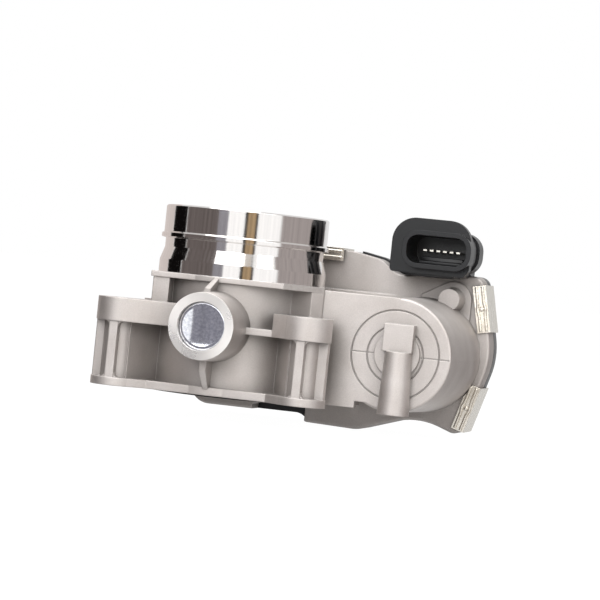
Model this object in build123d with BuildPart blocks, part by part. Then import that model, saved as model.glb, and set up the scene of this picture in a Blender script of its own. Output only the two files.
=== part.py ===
from build123d import *

import os
from math import atan2, cos, degrees, hypot, pi, radians, sin, sqrt, tan

# An electrically driven throttle body: a die-cast housing with a hose spigot above and a bolted
# flange below, a throttle plate on a cross shaft, and a motor that turns the shaft through an idler
# gear behind a plastic cover. Millimetres. The origin is where the bore axis meets the flange face,
# +Z runs up the bore to the hose, +X points to the motor and +Y to the gears.

# ---------------------------------------------------------------- driving dimensions
# fits between pieces
RUN = 0.04  # radial clearance of a journal in its bearing
SLIP = 0.05  # clearance of pieces that drop into a seat
GAP = 0.3  # clearance of pieces that pass without touching

# bore, spigot and shaft
BORE_R = 28.5
TUBE_WALL = 3.5
SPIGOT_WALL = 2.0
SPIGOT_BASE_WALL = 2.7
SPIGOT_NECK_WALL = 1.2
SPIGOT_BEAD_WALL = 2.8
SPIGOT_TOP_Z = 68.0
SPIGOT_LAND_L = 10.0
BEAD_L = 2.3
NECK_L = 3.3
CONE_L = 4.7
SPIGOT_EDGE = 0.5
DECK_TOP_Z = 43.0
DECK_T = 2.0
SHAFT_Z = 25.0
SHAFT_R = 5.0

# mounting flange
BOLT_X = 35.0
BOLT_FRONT_Y = -32.0
BOLT_REAR_Y = 24.0
BOLT_HOLE_R = 3.4
BOLT_TUBE_R = 5.6
WEB_END_X = 30.0
WEB_END_STEP = 3.6
WEB_BACK_ANGLE = 28.0  # degrees round the bore from the X axis
LOBE_R = 9.0
LOBE_BLEND = 6.4
FLANGE_COLLAR = 2.6
BAND_COLLAR = 1.2
FLANGE_T = 3.0
FLANGE_TOP_Z = 32.0
BAND_BOTTOM_Z = 23.5
RIB_T = 3.2
SEAL_LAND = 2.0
SEAL_WIDTH = 2.6
SEAL_GROOVE_D = 1.8
SEAL_PROUD = 0.5

# front bearing boss
PLUG_RECESS = 2.2
PLUG_ROOM = 3.4
PLUG_LEDGE = 0.8
PLUG_T = 0.9
PLUG_SKIRT = 3.0
BOSS_WALL = 3.3
BOSS_DRAFT = 1.2
BOSS_BASE_Y = -25.0
FRONT_BEARING_WALL = 3.0
FRONT_BEARING_L = 10.0
SEAL_WALL = 2.6
SEAL_L = 2.6
SEAL_BACKING = 1.9

# motor barrel
MOTOR_R = 17.6
MOTOR_ROOM = 0.5
BARREL_L = 53.5
BARREL_WALL = 2.6
BARREL_DRAFT = 1.1
BARREL_FLOOR_T = 3.5
END_GROOVE_R = 16.2
END_RING_R = 10.3
END_GROOVE_W = 0.5
END_GROOVE_D = 0.35
END_DISC_R = 8.4
END_DISC_PROUD = 1.4
WEB_T = 4.0
WEB_TOP_Z = 42.2
SCOOP_X = 22.0
SCOOP_L = 30.0
SCOOP_D = 2.2
WEB_BOTTOM_Z = 3.4

# gear case
CASE_STANDOFF = 2.5
CASE_FLOOR_T = 4.0
CASE_D = 9.5
CASE_WALL = 3.2
REAR_BEARING_WALL = 3.5
REAR_BEARING_L = 5.0
REAR_BEARING_DEPTH = 2.7
REAR_BOSS_WALL = 2.4
REAR_BOSS_BELOW = 1.0

# gears
SECTOR_MODULE = 1.0
SECTOR_TEETH = 52
IDLER_SMALL_TEETH = 22
IDLER_MODULE = 0.8
PINION_TEETH = 15
PRESSURE_ANGLE = 20.0
BACKLASH = 0.09
TOOTH_TIP = 0.9  # modules above the pitch circle
TOOTH_ROOT = 1.2  # modules below it
WIRE_R = 0.7  # return spring
WHEEL_TO_SPRING = 0.8
CENTRE_SLACK = 0.06
IDLER_ANGLE = 2.64  # degrees up from the throttle shaft to the idler
MOTOR_ANGLE = -10.54  # degrees up from the idler to the motor
WHEEL_ROOM = 4.3
WHEEL_T = 3.6
SECTOR_ROOM = 1.6
SECTOR_T = 6.0
IDLER_PIN_R = 2.5
IDLER_PIN_TOP = 2.6

# throttle plate
PLATE_T = 2.0
PLATE_GAP = 0.25
REST_TILT = 6.0
CLOSE_TRAVEL = 4.0
OPEN_TRAVEL = 80.0

# gear cover and its clips
COVER_FLANGE_T = 6.0
COVER_WALL = 1.8
COVER_STEP = 2.4
COVER_ROOM = 6.3
BAY_ROOM = 6.2
GASKET_T = 0.6
BROW = 0.8
BROW_X = 44.0
BROW_L = 18.0
NOTCH_WEB_T = 1.8
CLIP_L = 18.0
CLIP_T = 0.8
CLIP_LIP = 4.2

# connector
SOCKET_SIDE = 4.6  # from the motor's axis to the middle of the socket
SOCKET_RISE = 21.9  # from the top of the motor to the middle of the socket
SOCKET_W = 22.6
SOCKET_H = 10.6
SOCKET_CORNER_R = 4.2
SOCKET_REACH = 20.5
SOCKET_D = 20.0
SHROUD_WALL = 1.8
SHROUD_L = 4.5
COLLAR_T = 4.0
SHROUD_RIDGE = 0.8
SHROUD_RIDGE_L = 8.0
FOOT_REACH = 15.5
PIN_COUNT = 6
PIN_PITCH = 2.54
PIN_W = 1.4
PIN_T = 0.64
PIN_L = 9.0

# ---------------------------------------------------------------- derived positions
TUBE_R = BORE_R + TUBE_WALL
SPIGOT_R = BORE_R + SPIGOT_WALL
BEAD_TOP_Z = SPIGOT_TOP_Z - SPIGOT_LAND_L
BEAD_BOTTOM_Z = BEAD_TOP_Z - BEAD_L
NECK_BOTTOM_Z = BEAD_BOTTOM_Z - NECK_L
CONE_BOTTOM_Z = NECK_BOTTOM_Z - CONE_L
SEAL_GROOVE_R = BORE_R + SEAL_LAND
WAIST_X = TUBE_R - 9.5
WAIST_FRONT_Y = -(TUBE_R + 2.0)
WAIST_SIDE_Y = TUBE_R / 2
FRONT_BEARING_R = SHAFT_R + FRONT_BEARING_WALL
REAR_BEARING_R = SHAFT_R + REAR_BEARING_WALL
REAR_BOSS_R = REAR_BEARING_R + REAR_BOSS_WALL
SEAL_R = SHAFT_R + SEAL_WALL
PLUG_R = FRONT_BEARING_R + PLUG_LEDGE
BOSS_FRONT_R = PLUG_R + BOSS_WALL
BOSS_BASE_R = BOSS_FRONT_R + BOSS_DRAFT
FRONT_SEAL_Y = -(BORE_R + SEAL_BACKING + SEAL_L)
FRONT_BEARING_Y = FRONT_SEAL_Y - FRONT_BEARING_L
PLUG_FACE_Y = FRONT_BEARING_Y - PLUG_ROOM
BOSS_FRONT_Y = PLUG_FACE_Y - PLUG_RECESS
CASE_FRONT_Y = TUBE_R + CASE_STANDOFF
CASE_FLOOR_Y = CASE_FRONT_Y + CASE_FLOOR_T
PARTING_Y = CASE_FRONT_Y + CASE_D
REAR_BEARING_Y = CASE_FRONT_Y + REAR_BEARING_DEPTH
REAR_BOSS_Y = PARTING_Y - REAR_BOSS_BELOW
GASKET_Y = PARTING_Y + GASKET_T
COVER_FLANGE_Y = GASKET_Y + COVER_FLANGE_T
WHEEL_Y = CASE_FLOOR_Y + WHEEL_ROOM
SECTOR_Y = WHEEL_Y + WHEEL_T + SECTOR_ROOM
SECTOR_TOP_Y = SECTOR_Y + SECTOR_T
IDLER_PIN_END_Y = SECTOR_TOP_Y + IDLER_PIN_TOP
COVER_TOP_Y = SECTOR_TOP_Y + BAY_ROOM + COVER_WALL
COVER_LOW_Y = WHEEL_Y + WHEEL_T + COVER_ROOM + COVER_WALL
BARREL_FRONT_Y = CASE_FRONT_Y - BARREL_L
POCKET_R = MOTOR_R + MOTOR_ROOM
POCKET_FLOOR_Y = BARREL_FRONT_Y + BARREL_FLOOR_T
BARREL_FRONT_R = POCKET_R + BARREL_WALL
BARREL_BASE_R = BARREL_FRONT_R + BARREL_DRAFT
SECTOR_PITCH_R = SECTOR_MODULE * SECTOR_TEETH / 2
SMALL_PITCH_R = SECTOR_MODULE * IDLER_SMALL_TEETH / 2
PINION_PITCH_R = IDLER_MODULE * PINION_TEETH / 2
FIRST_CENTRES = SECTOR_PITCH_R + SMALL_PITCH_R + CENTRE_SLACK
SPRING_R = REAR_BOSS_R + 1.5
WHEEL_ROOM_R = FIRST_CENTRES - SPRING_R - WIRE_R - WHEEL_TO_SPRING
IDLER_LARGE_TEETH = int(2 * (WHEEL_ROOM_R / IDLER_MODULE - TOOTH_TIP))
LARGE_PITCH_R = IDLER_MODULE * IDLER_LARGE_TEETH / 2
SECOND_CENTRES = LARGE_PITCH_R + PINION_PITCH_R + CENTRE_SLACK


def on_circle(x, z, radius, angle):
    """A point at an angle in degrees round (x, z), seen from the front."""
    return x + radius * cos(radians(angle)), z + radius * sin(radians(angle))


IDLER_X, IDLER_Z = on_circle(0, SHAFT_Z, FIRST_CENTRES, IDLER_ANGLE)
MOTOR_X, MOTOR_Z = on_circle(IDLER_X, IDLER_Z, SECOND_CENTRES, MOTOR_ANGLE)
SOCKET_X = MOTOR_X + SOCKET_SIDE
SOCKET_Z = MOTOR_Z + MOTOR_R + SOCKET_RISE
SOCKET_RIM_Y = CASE_FRONT_Y - SOCKET_REACH
COLLAR_Y = SOCKET_RIM_Y + SHROUD_L
SOCKET_FLOOR_Y = SOCKET_RIM_Y + SOCKET_D
PIN_TIP_Y = SOCKET_FLOOR_Y - PIN_L

# Corners of the gear case seen from the front as (x, z, corner radius): a drum round the throttle
# shaft on the left, a bay for the idler in the middle and a bay for the motor on the right.
CASE_CORNERS = [
    (-26.0, -6.5, 8.0),
    (-26.0, 58.0, 14.0),
    (33.0, 58.0, 8.0),
    (IDLER_X + 8.0, 55.8, 8.0),
    (IDLER_X + 15.5, 50.4, 8.0),
    (MOTOR_X + 1.0, MOTOR_Z + MOTOR_R + 14.2, 22.0),
    (MOTOR_X + MOTOR_R + 2.0, MOTOR_Z + MOTOR_R + 13.9, 4.0),
    (MOTOR_X + MOTOR_R + 8.4, MOTOR_Z + 1.5, 30.0),
    (MOTOR_X + MOTOR_R - 0.8, MOTOR_Z - MOTOR_R - 12.1, 4.0),
    (MOTOR_X, MOTOR_Z - MOTOR_R - 6.1, 26.0),
    (IDLER_X + 5.0, -9.8, 12.0),
    (21.0, -9.2, 5.0),
    (16.5, -6.4, 5.0),
]
# The case steps up here, under the bore tube, and leaves the cover showing below it.
NOTCH = [(-2.2, -20), (0, -4.5), (6, -1.6), (21, -1.2), (21, -20)]
# Each clip as (side of the case, distance of its middle from that side's first corner).
CLIP_SEATS = [(0, 18.0), (0, 42.0), (1, 47.0), (6, 12.0), (7, 21.3)]


def at_y(y):
    """A sketch plane across the shaft, with X to the right and Z up, seen from the front."""
    return Plane.XZ.offset(-y)


def bar(radius, front, rear, x=0.0, z=SHAFT_Z, mode=Mode.ADD):
    """A round bar or hole along Y."""
    with Locations(Location((x, (front + rear) / 2, z), (90, 0, 0))):
        Cylinder(radius, rear - front, mode=mode)


def block(low, high, mode=Mode.ADD):
    """A square block between two corners."""
    middle = tuple((a + b) / 2 for a, b in zip(low, high))
    size = [b - a for a, b in zip(low, high)]
    with Locations(middle):
        Box(*size, mode=mode)


def case_outline(inset=0.0):
    """The gear case outline as a face, inset by a wall."""
    points = [(x, z) for x, z, radius in CASE_CORNERS]
    corner_radii = [radius for x, z, radius in CASE_CORNERS]
    with BuildSketch() as outline:
        with BuildLine():
            FilletPolyline(*points, radius=corner_radii, close=True)
        make_face()
        if inset:
            offset(amount=-inset, mode=Mode.REPLACE)
    return outline.sketch


def tray_outline(inset=0.0):
    """The gear case outline with the notch under the bore tube, inset by a wall."""
    with BuildSketch() as outline:
        add(case_outline())
        with BuildLine():
            Polyline(*NOTCH, close=True)
        make_face(mode=Mode.SUBTRACT)
        if inset:
            offset(amount=-inset, mode=Mode.REPLACE)
    return outline.sketch


def stadium(width, height, corner):
    """A socket's outline as a face about its own centre."""
    with BuildSketch() as outline:
        RectangleRounded(width, height, corner)
    return outline.sketch


def gear_points(teeth, module, first_angle, arc=None):
    """Tip-to-root points of involute teeth; the first tooth stands at first_angle degrees."""
    pitch_r = module * teeth / 2
    base_r = pitch_r * cos(radians(PRESSURE_ANGLE))
    tip_r = pitch_r + TOOTH_TIP * module
    root_r = pitch_r - TOOTH_ROOT * module
    half_tooth = (pi * module / 2 - BACKLASH) / 2 / pitch_r
    spread = tan(radians(PRESSURE_ANGLE)) - radians(PRESSURE_ANGLE)
    start_r = max(base_r, root_r)
    count = teeth if arc is None else arc
    flank = []
    for step in range(5):
        radius = start_r + (tip_r - start_r) * step / 4
        roll = sqrt(max((radius / base_r) ** 2 - 1, 0.0))
        flank.append((radius, half_tooth + spread - (roll - atan2(roll, 1))))
    if root_r < start_r:
        flank.insert(0, (root_r, flank[0][1]))
    points = []
    for tooth in range(count):
        centre = radians(first_angle) + 2 * pi * tooth / teeth
        for radius, half in flank:
            points.append((radius * cos(centre - half), radius * sin(centre - half)))
        for radius, half in reversed(flank):
            points.append((radius * cos(centre + half), radius * sin(centre + half)))
    return points


def gear_face(teeth, module, first_angle):
    """A full toothed wheel as a face about its own centre."""
    with BuildSketch() as wheel:
        with BuildLine():
            Polyline(*gear_points(teeth, module, first_angle), close=True)
        make_face()
    return wheel.sketch


def extrude_across(face, x, z, front, rear, mode=Mode.ADD):
    """Stands a face drawn about its own centre at (x, z) and runs it from front to rear."""
    placed = at_y(rear).location * (Pos(x, z, 0) * face)
    extrude(placed, amount=rear - front, dir=(0, -1, 0), mode=mode)


def taper(front_r, rear_r, front, rear, x=0.0, z=SHAFT_Z):
    """A round boss along Y with casting draft."""
    with Locations(Location((x, (front + rear) / 2, z), (90, 0, 0))):
        Cone(rear_r, front_r, rear - front)


# ---------------------------------------------------------------- throttle housing, one casting
BOLT_PLACES = [(side * BOLT_X, y) for y in (BOLT_FRONT_Y, BOLT_REAR_Y) for side in (-1, 1)]
WEB_REAR_Y = BARREL_FRONT_Y + WEB_T
DECK_BOTTOM_Z = DECK_TOP_Z - DECK_T
COLUMN_FRONT_Y = -TUBE_R
CORNER_X = TUBE_R - 7.6
SHOULDER_X = TUBE_R + 4.8
SHOULDER_Y = BARREL_FRONT_Y - 0.6
MID_RIB_TOP_Z = 26.0
BAND_END = (-12.0, COLUMN_FRONT_Y - 2.2)
BAND_TANGENT = (2.7 - BOLT_X, BOLT_FRONT_Y - LOBE_R + 0.4)
ARCH_X = MOTOR_X + 9.4
ARCH_Z = MOTOR_Z + BARREL_FRONT_R + 1.1
ARCH_R = 7.0
ARCH_PROUD = 1.6
ARCH_SLOPE = 29.4  # degrees
ARCH_REACH = 8.9
ARCH_BOSS_R = 4.1
ARCH_BOSS_L = 10.5
POST_X = MOTOR_X + 1.8
POST_Y = BARREL_FRONT_Y - 1.9
POST_TOP_Z = 22.8
SHAFT_HOLE_R = SHAFT_R + GAP
REAR_SEAL_Y = REAR_BEARING_Y - SEAL_L
MOTOR_SCREW_R = 1.5
MOTOR_SCREW_CIRCLE = MOTOR_R + 4.4
MOTOR_SCREW_ANGLES = (122, 302)
MOTOR_SCREW_PLACES = [
    on_circle(MOTOR_X, MOTOR_Z, MOTOR_SCREW_CIRCLE, angle) for angle in MOTOR_SCREW_ANGLES
]
MOTOR_SCREW_TIP_Y = CASE_FRONT_Y + 0.8
SECTOR_EARLY_TEETH = 2
SECTOR_TOOTH_COUNT = 16
SECTOR_LAND = 3.0  # degrees of solid gear past its outer teeth
TOOTH_STEP = 360 / SECTOR_TEETH
SECTOR_START = IDLER_ANGLE - SECTOR_EARLY_TEETH * TOOTH_STEP
SECTOR_END = SECTOR_START + (SECTOR_TOOTH_COUNT - 1) * TOOTH_STEP
STOP_CIRCLE_R = 22.5
STOP_POST_R = 3.0
STOP_POST_Y = SECTOR_TOP_Y - 1.0
STOP_SCREW_R = 1.5
STOP_SCREW_PROUD = 0.4
STOP_ROOM = degrees((STOP_POST_R + STOP_SCREW_PROUD + GAP) / STOP_CIRCLE_R) + 0.6
CLOSED_STOP = SECTOR_END + SECTOR_LAND + CLOSE_TRAVEL + STOP_ROOM
OPEN_STOP = SECTOR_START - SECTOR_LAND - OPEN_TRAVEL - STOP_ROOM
STOP_SCREW_X, STOP_SCREW_Z = on_circle(0, SHAFT_Z, STOP_CIRCLE_R, CLOSED_STOP)
STOP_SCREW_SEAT = Location((STOP_SCREW_X, SECTOR_Y + 1.5, STOP_SCREW_Z), (0, 180 - CLOSED_STOP, 0))


def flange_outline(collar):
    """The lobed flange as a face: a collar round the bore tube, a waist and four blended lobes."""
    with BuildSketch() as outline:
        Circle(TUBE_R + collar)
        with Locations((0, WAIST_FRONT_Y / 2)):
            Rectangle(2 * WAIST_X, -WAIST_FRONT_Y)
        with Locations(*BOLT_PLACES):
            Circle(LOBE_R)
        for side in (-1, 1):
            with BuildLine():
                Polyline(
                    (side * WAIST_X, WAIST_FRONT_Y),
                    (side * (BOLT_X - LOBE_BLEND), BOLT_FRONT_Y - LOBE_BLEND),
                    (side * BOLT_X, BOLT_FRONT_Y),
                    (side * (BOLT_X + LOBE_BLEND), BOLT_FRONT_Y + LOBE_BLEND),
                    (side * TUBE_R, -WAIST_SIDE_Y),
                    (side * WAIST_X, -WAIST_SIDE_Y),
                    close=True,
                )
            make_face()
            with BuildLine():
                Polyline(
                    (side * TUBE_R, WAIST_SIDE_Y / 2),
                    (side * (BOLT_X + LOBE_BLEND), BOLT_REAR_Y - LOBE_BLEND),
                    (side * BOLT_X, BOLT_REAR_Y),
                    (side * (BOLT_X - LOBE_BLEND), BOLT_REAR_Y + LOBE_BLEND),
                    (side * WAIST_X / 2, BOLT_REAR_Y),
                    close=True,
                )
            make_face()
    return outline.sketch


def boss_wedge(faces_front, side_view):
    """A cast rib in front of the bore tube: where its front view and its side view overlap."""
    with BuildPart() as wedge:
        with BuildSketch(at_y(-BORE_R)):
            with BuildLine():
                Polyline(*faces_front, close=True)
            make_face()
        extrude(amount=BOSS_FRONT_R)
        with BuildSketch(Plane.YZ.offset(-BOSS_FRONT_R)):
            with BuildLine():
                Polyline(*side_view, close=True)
            make_face()
        extrude(amount=2 * BOSS_FRONT_R, mode=Mode.INTERSECT)
    return wedge.part


BOSS_TOP_Z = SHAFT_Z + BOSS_FRONT_R
BOSS_BOTTOM_Z = SHAFT_Z - BOSS_FRONT_R
upper_wedge = boss_wedge(
    [(-0.9, DECK_TOP_Z - 0.1), (0.9, DECK_TOP_Z - 0.1), (-0.4, BOSS_TOP_Z - 1), (-3.0, BOSS_TOP_Z - 1)],
    [
        (COLUMN_FRONT_Y - 0.6, DECK_TOP_Z),
        (BOSS_FRONT_Y + 1.5, BOSS_TOP_Z - 2),
        (-BORE_R, BOSS_TOP_Z - 2),
        (-BORE_R, DECK_TOP_Z),
    ],
)
lower_wedge = boss_wedge(
    [(-1.8, BOSS_BOTTOM_Z + 1.5), (1.2, BOSS_BOTTOM_Z + 1.5), (1.0, FLANGE_T - 1), (-0.9, FLANGE_T - 1)],
    [
        (BOSS_FRONT_Y + 3, BOSS_BOTTOM_Z + 2),
        (WAIST_FRONT_Y + 0.4, FLANGE_T - 2),
        (-BORE_R, FLANGE_T - 2),
        (-BORE_R, BOSS_BOTTOM_Z + 2),
    ],
)

with BuildPart() as throttle_housing:
    # gear case, a shallow tray open to the rear
    with BuildSketch(at_y(PARTING_Y)):
        add(case_outline())
    extrude(amount=PARTING_Y - CASE_FRONT_Y)
    fillet(throttle_housing.faces().sort_by(Axis.Y)[0].edges(), radius=1.0)
    with BuildSketch(Plane.XY.offset(DECK_TOP_Z)):
        with BuildLine():
            Polyline(
                (SCOOP_X, CASE_FRONT_Y - 1),
                (SCOOP_X + SCOOP_L, CASE_FRONT_Y - 1),
                (SCOOP_X + SCOOP_L, CASE_FRONT_Y),
                (SCOOP_X, CASE_FRONT_Y + SCOOP_D),
                close=True,
            )
        make_face()
    extrude(amount=20, mode=Mode.SUBTRACT)
    with BuildSketch(at_y(PARTING_Y)):
        with BuildLine():
            Polyline(*NOTCH, close=True)
        make_face()
    extrude(amount=CASE_D, mode=Mode.SUBTRACT)
    with BuildSketch(at_y(PARTING_Y)):
        add(tray_outline(CASE_WALL))
    extrude(amount=PARTING_Y - CASE_FLOOR_Y, mode=Mode.SUBTRACT)

    # motor barrel, the web that ties it to the bore tube, and the saddle behind the tube
    taper(BARREL_FRONT_R, BARREL_BASE_R, BARREL_FRONT_Y, CASE_FRONT_Y + 1, MOTOR_X, MOTOR_Z)
    fillet(throttle_housing.faces().sort_by(Axis.Y)[0].edges(), radius=0.8)
    block((26, BARREL_FRONT_Y, WEB_BOTTOM_Z), (MOTOR_X, WEB_REAR_Y, WEB_TOP_Z))
    block((26, BARREL_FRONT_Y, FLANGE_T - 2.1), (MOTOR_X - 13.2, WEB_REAR_Y, WEB_BOTTOM_Z))
    block((-20, 16, 0), (24, CASE_FRONT_Y + 1, DECK_TOP_Z))

    # flange: thin plate below, thick band above, both in the lobed outline
    with BuildSketch(Plane.XY):
        add(flange_outline(FLANGE_COLLAR))
    extrude(amount=FLANGE_T)
    with BuildSketch(Plane.XY.offset(BAND_BOTTOM_Z)):
        add(flange_outline(BAND_COLLAR))
    extrude(amount=FLANGE_TOP_Z - BAND_BOTTOM_Z)
    block((0, -60, MID_RIB_TOP_Z), (WAIST_X, -20, FLANGE_TOP_Z + 1), Mode.SUBTRACT)
    with BuildSketch(Plane.XY.offset(BAND_BOTTOM_Z)):
        with BuildLine():
            Polyline(BAND_TANGENT, BAND_END, (BAND_END[0], -25), (-BOLT_X, -25), close=True)
        make_face()
    extrude(amount=FLANGE_TOP_Z - BAND_BOTTOM_Z)
    block((-WAIST_X, COLUMN_FRONT_Y - 2.0, BAND_BOTTOM_Z), (WAIST_X, -20, MID_RIB_TOP_Z))
    with Locations(*[(x, y, FLANGE_TOP_Z / 2) for x, y in BOLT_PLACES]):
        Cylinder(BOLT_TUBE_R, FLANGE_TOP_Z)
    for x, y in BOLT_PLACES:
        outward = 1 if x > 0 else -1
        away = 1 if y > 0 else -1
        ends = sorted([y, y + away * (LOBE_R - 0.5)])
        block((x - RIB_T / 2, ends[0], 1), (x + RIB_T / 2, ends[1], BAND_BOTTOM_Z + 1))
        ends = sorted([x, x + outward * (LOBE_R - 0.4)])
        block((ends[0], y - RIB_T / 2, 1), (ends[1], y + RIB_T / 2, BAND_BOTTOM_Z + 1))
        # a smooth wall from the bolt's tube back to the bore tube
        back_x, back_y = TUBE_R * cos(radians(WEB_BACK_ANGLE)), TUBE_R * sin(radians(WEB_BACK_ANGLE))
        with BuildSketch(Plane.XY):
            with BuildLine():
                Polyline(
                    (outward * WEB_END_X, y + away * WEB_END_STEP),
                    (outward * WAIST_X, away * sqrt(TUBE_R**2 - WAIST_X**2)),
                    (outward * back_x, away * back_y),
                    (outward * (BOLT_X + WEB_END_STEP), y - away * WEB_END_STEP),
                    close=True,
                )
            make_face()
        extrude(amount=FLANGE_TOP_Z)

    # deck under the spigot, carried by a column at the left and the shoulder of the web
    with BuildSketch(Plane.XY.offset(DECK_BOTTOM_Z)):
        Circle(TUBE_R + 1.6)
        with BuildLine():
            Polyline(
                (-CORNER_X - 0.8, COLUMN_FRONT_Y - 0.5),
                (CORNER_X + 0.2, COLUMN_FRONT_Y - 0.5),
                (SHOULDER_X, SHOULDER_Y),
                (SHOULDER_X, WEB_REAR_Y),
                (0, WEB_REAR_Y),
                (-TUBE_R - 1.2, -2),
                close=True,
            )
        make_face()
    extrude(amount=DECK_T)
    with BuildSketch(Plane.XY.offset(BAND_BOTTOM_Z)):
        with BuildLine():
            Polyline(
                (-CORNER_X, COLUMN_FRONT_Y),
                (-CORNER_X + 6.2, COLUMN_FRONT_Y),
                (-CORNER_X + 6.2, -22),
                (-20, 0),
                (-TUBE_R, 0),
                close=True,
            )
        make_face()
        with BuildLine():
            Polyline(
                (SHOULDER_X - 3.6, SHOULDER_Y - 3.6),
                (SHOULDER_X, SHOULDER_Y),
                (SHOULDER_X, WEB_REAR_Y),
                (20, WEB_REAR_Y),
                (24, SHOULDER_Y),
                close=True,
            )
        make_face()
    extrude(amount=DECK_BOTTOM_Z - BAND_BOTTOM_Z)

    # bore tube and machined spigot, turned from one profile
    with BuildSketch(Plane.XZ):
        with BuildLine():
            Polyline(
                (0, 0),
                (TUBE_R, 0),
                (TUBE_R, DECK_TOP_Z),
                (BORE_R + SPIGOT_BASE_WALL, DECK_TOP_Z),
                (BORE_R + SPIGOT_BASE_WALL, CONE_BOTTOM_Z),
                (BORE_R + SPIGOT_NECK_WALL, NECK_BOTTOM_Z),
                (BORE_R + SPIGOT_NECK_WALL, BEAD_BOTTOM_Z),
                (BORE_R + SPIGOT_BEAD_WALL, BEAD_BOTTOM_Z + 0.4),
                (BORE_R + SPIGOT_BEAD_WALL, BEAD_TOP_Z - 0.5),
                (SPIGOT_R, BEAD_TOP_Z),
                (SPIGOT_R, SPIGOT_TOP_Z - SPIGOT_EDGE),
                (SPIGOT_R - SPIGOT_EDGE, SPIGOT_TOP_Z),
                (0, SPIGOT_TOP_Z),
                close=True,
            )
        make_face()
    revolve(axis=Axis.Z)

    # front bearing boss with a wedge above it and another below
    taper(BOSS_FRONT_R, BOSS_BASE_R, BOSS_FRONT_Y, BOSS_BASE_Y)
    add(upper_wedge)
    add(lower_wedge)

    # barrel end: two rings, a parting line, a raised disc, a block and the round post below it
    with BuildSketch(at_y(BARREL_FRONT_Y)):
        with Locations((MOTOR_X, MOTOR_Z)):
            Circle(END_GROOVE_R + END_GROOVE_W / 2)
            Circle(END_GROOVE_R - END_GROOVE_W / 2, mode=Mode.SUBTRACT)
            Circle(END_RING_R + END_GROOVE_W / 2)
            Circle(END_RING_R - END_GROOVE_W / 2, mode=Mode.SUBTRACT)
    extrude(amount=-END_GROOVE_D, mode=Mode.SUBTRACT)
    block(
        (MOTOR_X - END_GROOVE_R, BARREL_FRONT_Y - 1, MOTOR_Z - END_GROOVE_D / 2),
        (MOTOR_X + BARREL_BASE_R, BARREL_FRONT_Y + END_GROOVE_D / 2, MOTOR_Z + END_GROOVE_D / 2),
        Mode.SUBTRACT,
    )
    bar(END_DISC_R, BARREL_FRONT_Y - END_DISC_PROUD, BARREL_FRONT_Y + 1, MOTOR_X + 0.9, MOTOR_Z + 0.3)
    block((POST_X - 5.9, BARREL_FRONT_Y - 4.4, POST_TOP_Z), (POST_X + 5.1, BARREL_FRONT_Y + 1, 32.8))
    with Locations((POST_X, POST_Y, POST_TOP_Z / 2)):
        Cone(5.85, 4.9, POST_TOP_Z)
    # arched boss on the case wall
    crown_x, crown_z = on_circle(ARCH_X, ARCH_Z, ARCH_R, 90 + ARCH_SLOPE)
    with BuildSketch(at_y(CASE_FRONT_Y + 1)):
        with Locations((ARCH_X, ARCH_Z)):
            Circle(ARCH_R)
        with BuildLine():
            Polyline(
                (ARCH_X + ARCH_R, ARCH_Z),
                (ARCH_X + ARCH_R, MOTOR_Z),
                (MOTOR_X, MOTOR_Z),
                (crown_x - ARCH_REACH, crown_z - ARCH_REACH * tan(radians(ARCH_SLOPE))),
                (crown_x, crown_z),
                (ARCH_X, ARCH_Z),
                close=True,
            )
        make_face()
    extrude(amount=ARCH_PROUD + 1)
    taper(ARCH_BOSS_R, ARCH_BOSS_R + 0.7, CASE_FRONT_Y - ARCH_BOSS_L, CASE_FRONT_Y + 1, ARCH_X, ARCH_Z)

    # bosses inside the gear case
    bar(REAR_BOSS_R, CASE_FRONT_Y - 4, REAR_BOSS_Y)
    bar(5.0, CASE_FRONT_Y + 0.5, WHEEL_Y - 0.6, IDLER_X, IDLER_Z)
    for angle in (CLOSED_STOP, OPEN_STOP):
        bar(STOP_POST_R, CASE_FLOOR_Y - 1, STOP_POST_Y, *on_circle(0, SHAFT_Z, STOP_CIRCLE_R, angle))

    # machined holes
    with Locations((0, 0, SPIGOT_TOP_Z / 2)):
        Cylinder(BORE_R, SPIGOT_TOP_Z + 2, mode=Mode.SUBTRACT)
    with Locations(*[(x, y, FLANGE_TOP_Z / 2) for x, y in BOLT_PLACES]):
        Cylinder(BOLT_HOLE_R, FLANGE_TOP_Z + 2, mode=Mode.SUBTRACT)
    with BuildSketch(Plane.XY):
        Circle(SEAL_GROOVE_R + SEAL_WIDTH)
        Circle(SEAL_GROOVE_R, mode=Mode.SUBTRACT)
    extrude(amount=SEAL_GROOVE_D, mode=Mode.SUBTRACT)
    bar(PLUG_R, BOSS_FRONT_Y - 1, FRONT_BEARING_Y, mode=Mode.SUBTRACT)
    bar(FRONT_BEARING_R, FRONT_BEARING_Y, FRONT_SEAL_Y, mode=Mode.SUBTRACT)
    bar(SEAL_R, FRONT_SEAL_Y, FRONT_SEAL_Y + SEAL_L, mode=Mode.SUBTRACT)
    bar(SHAFT_HOLE_R, FRONT_SEAL_Y, REAR_BEARING_Y, mode=Mode.SUBTRACT)
    bar(SEAL_R, REAR_SEAL_Y, REAR_BEARING_Y, mode=Mode.SUBTRACT)
    bar(REAR_BEARING_R, REAR_BEARING_Y, REAR_BOSS_Y + 1, mode=Mode.SUBTRACT)
    bar(POCKET_R, POCKET_FLOOR_Y, CASE_FLOOR_Y + 1, MOTOR_X, MOTOR_Z, Mode.SUBTRACT)
    bar(IDLER_PIN_R, CASE_FRONT_Y + 1.5, WHEEL_Y, IDLER_X, IDLER_Z, Mode.SUBTRACT)
    for x, z in MOTOR_SCREW_PLACES:
        bar(MOTOR_SCREW_R, MOTOR_SCREW_TIP_Y, CASE_FLOOR_Y + 1, x, z, Mode.SUBTRACT)
    with Locations(STOP_SCREW_SEAT):
        Cylinder(STOP_SCREW_R, 4 * STOP_POST_R, mode=Mode.SUBTRACT)

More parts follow.
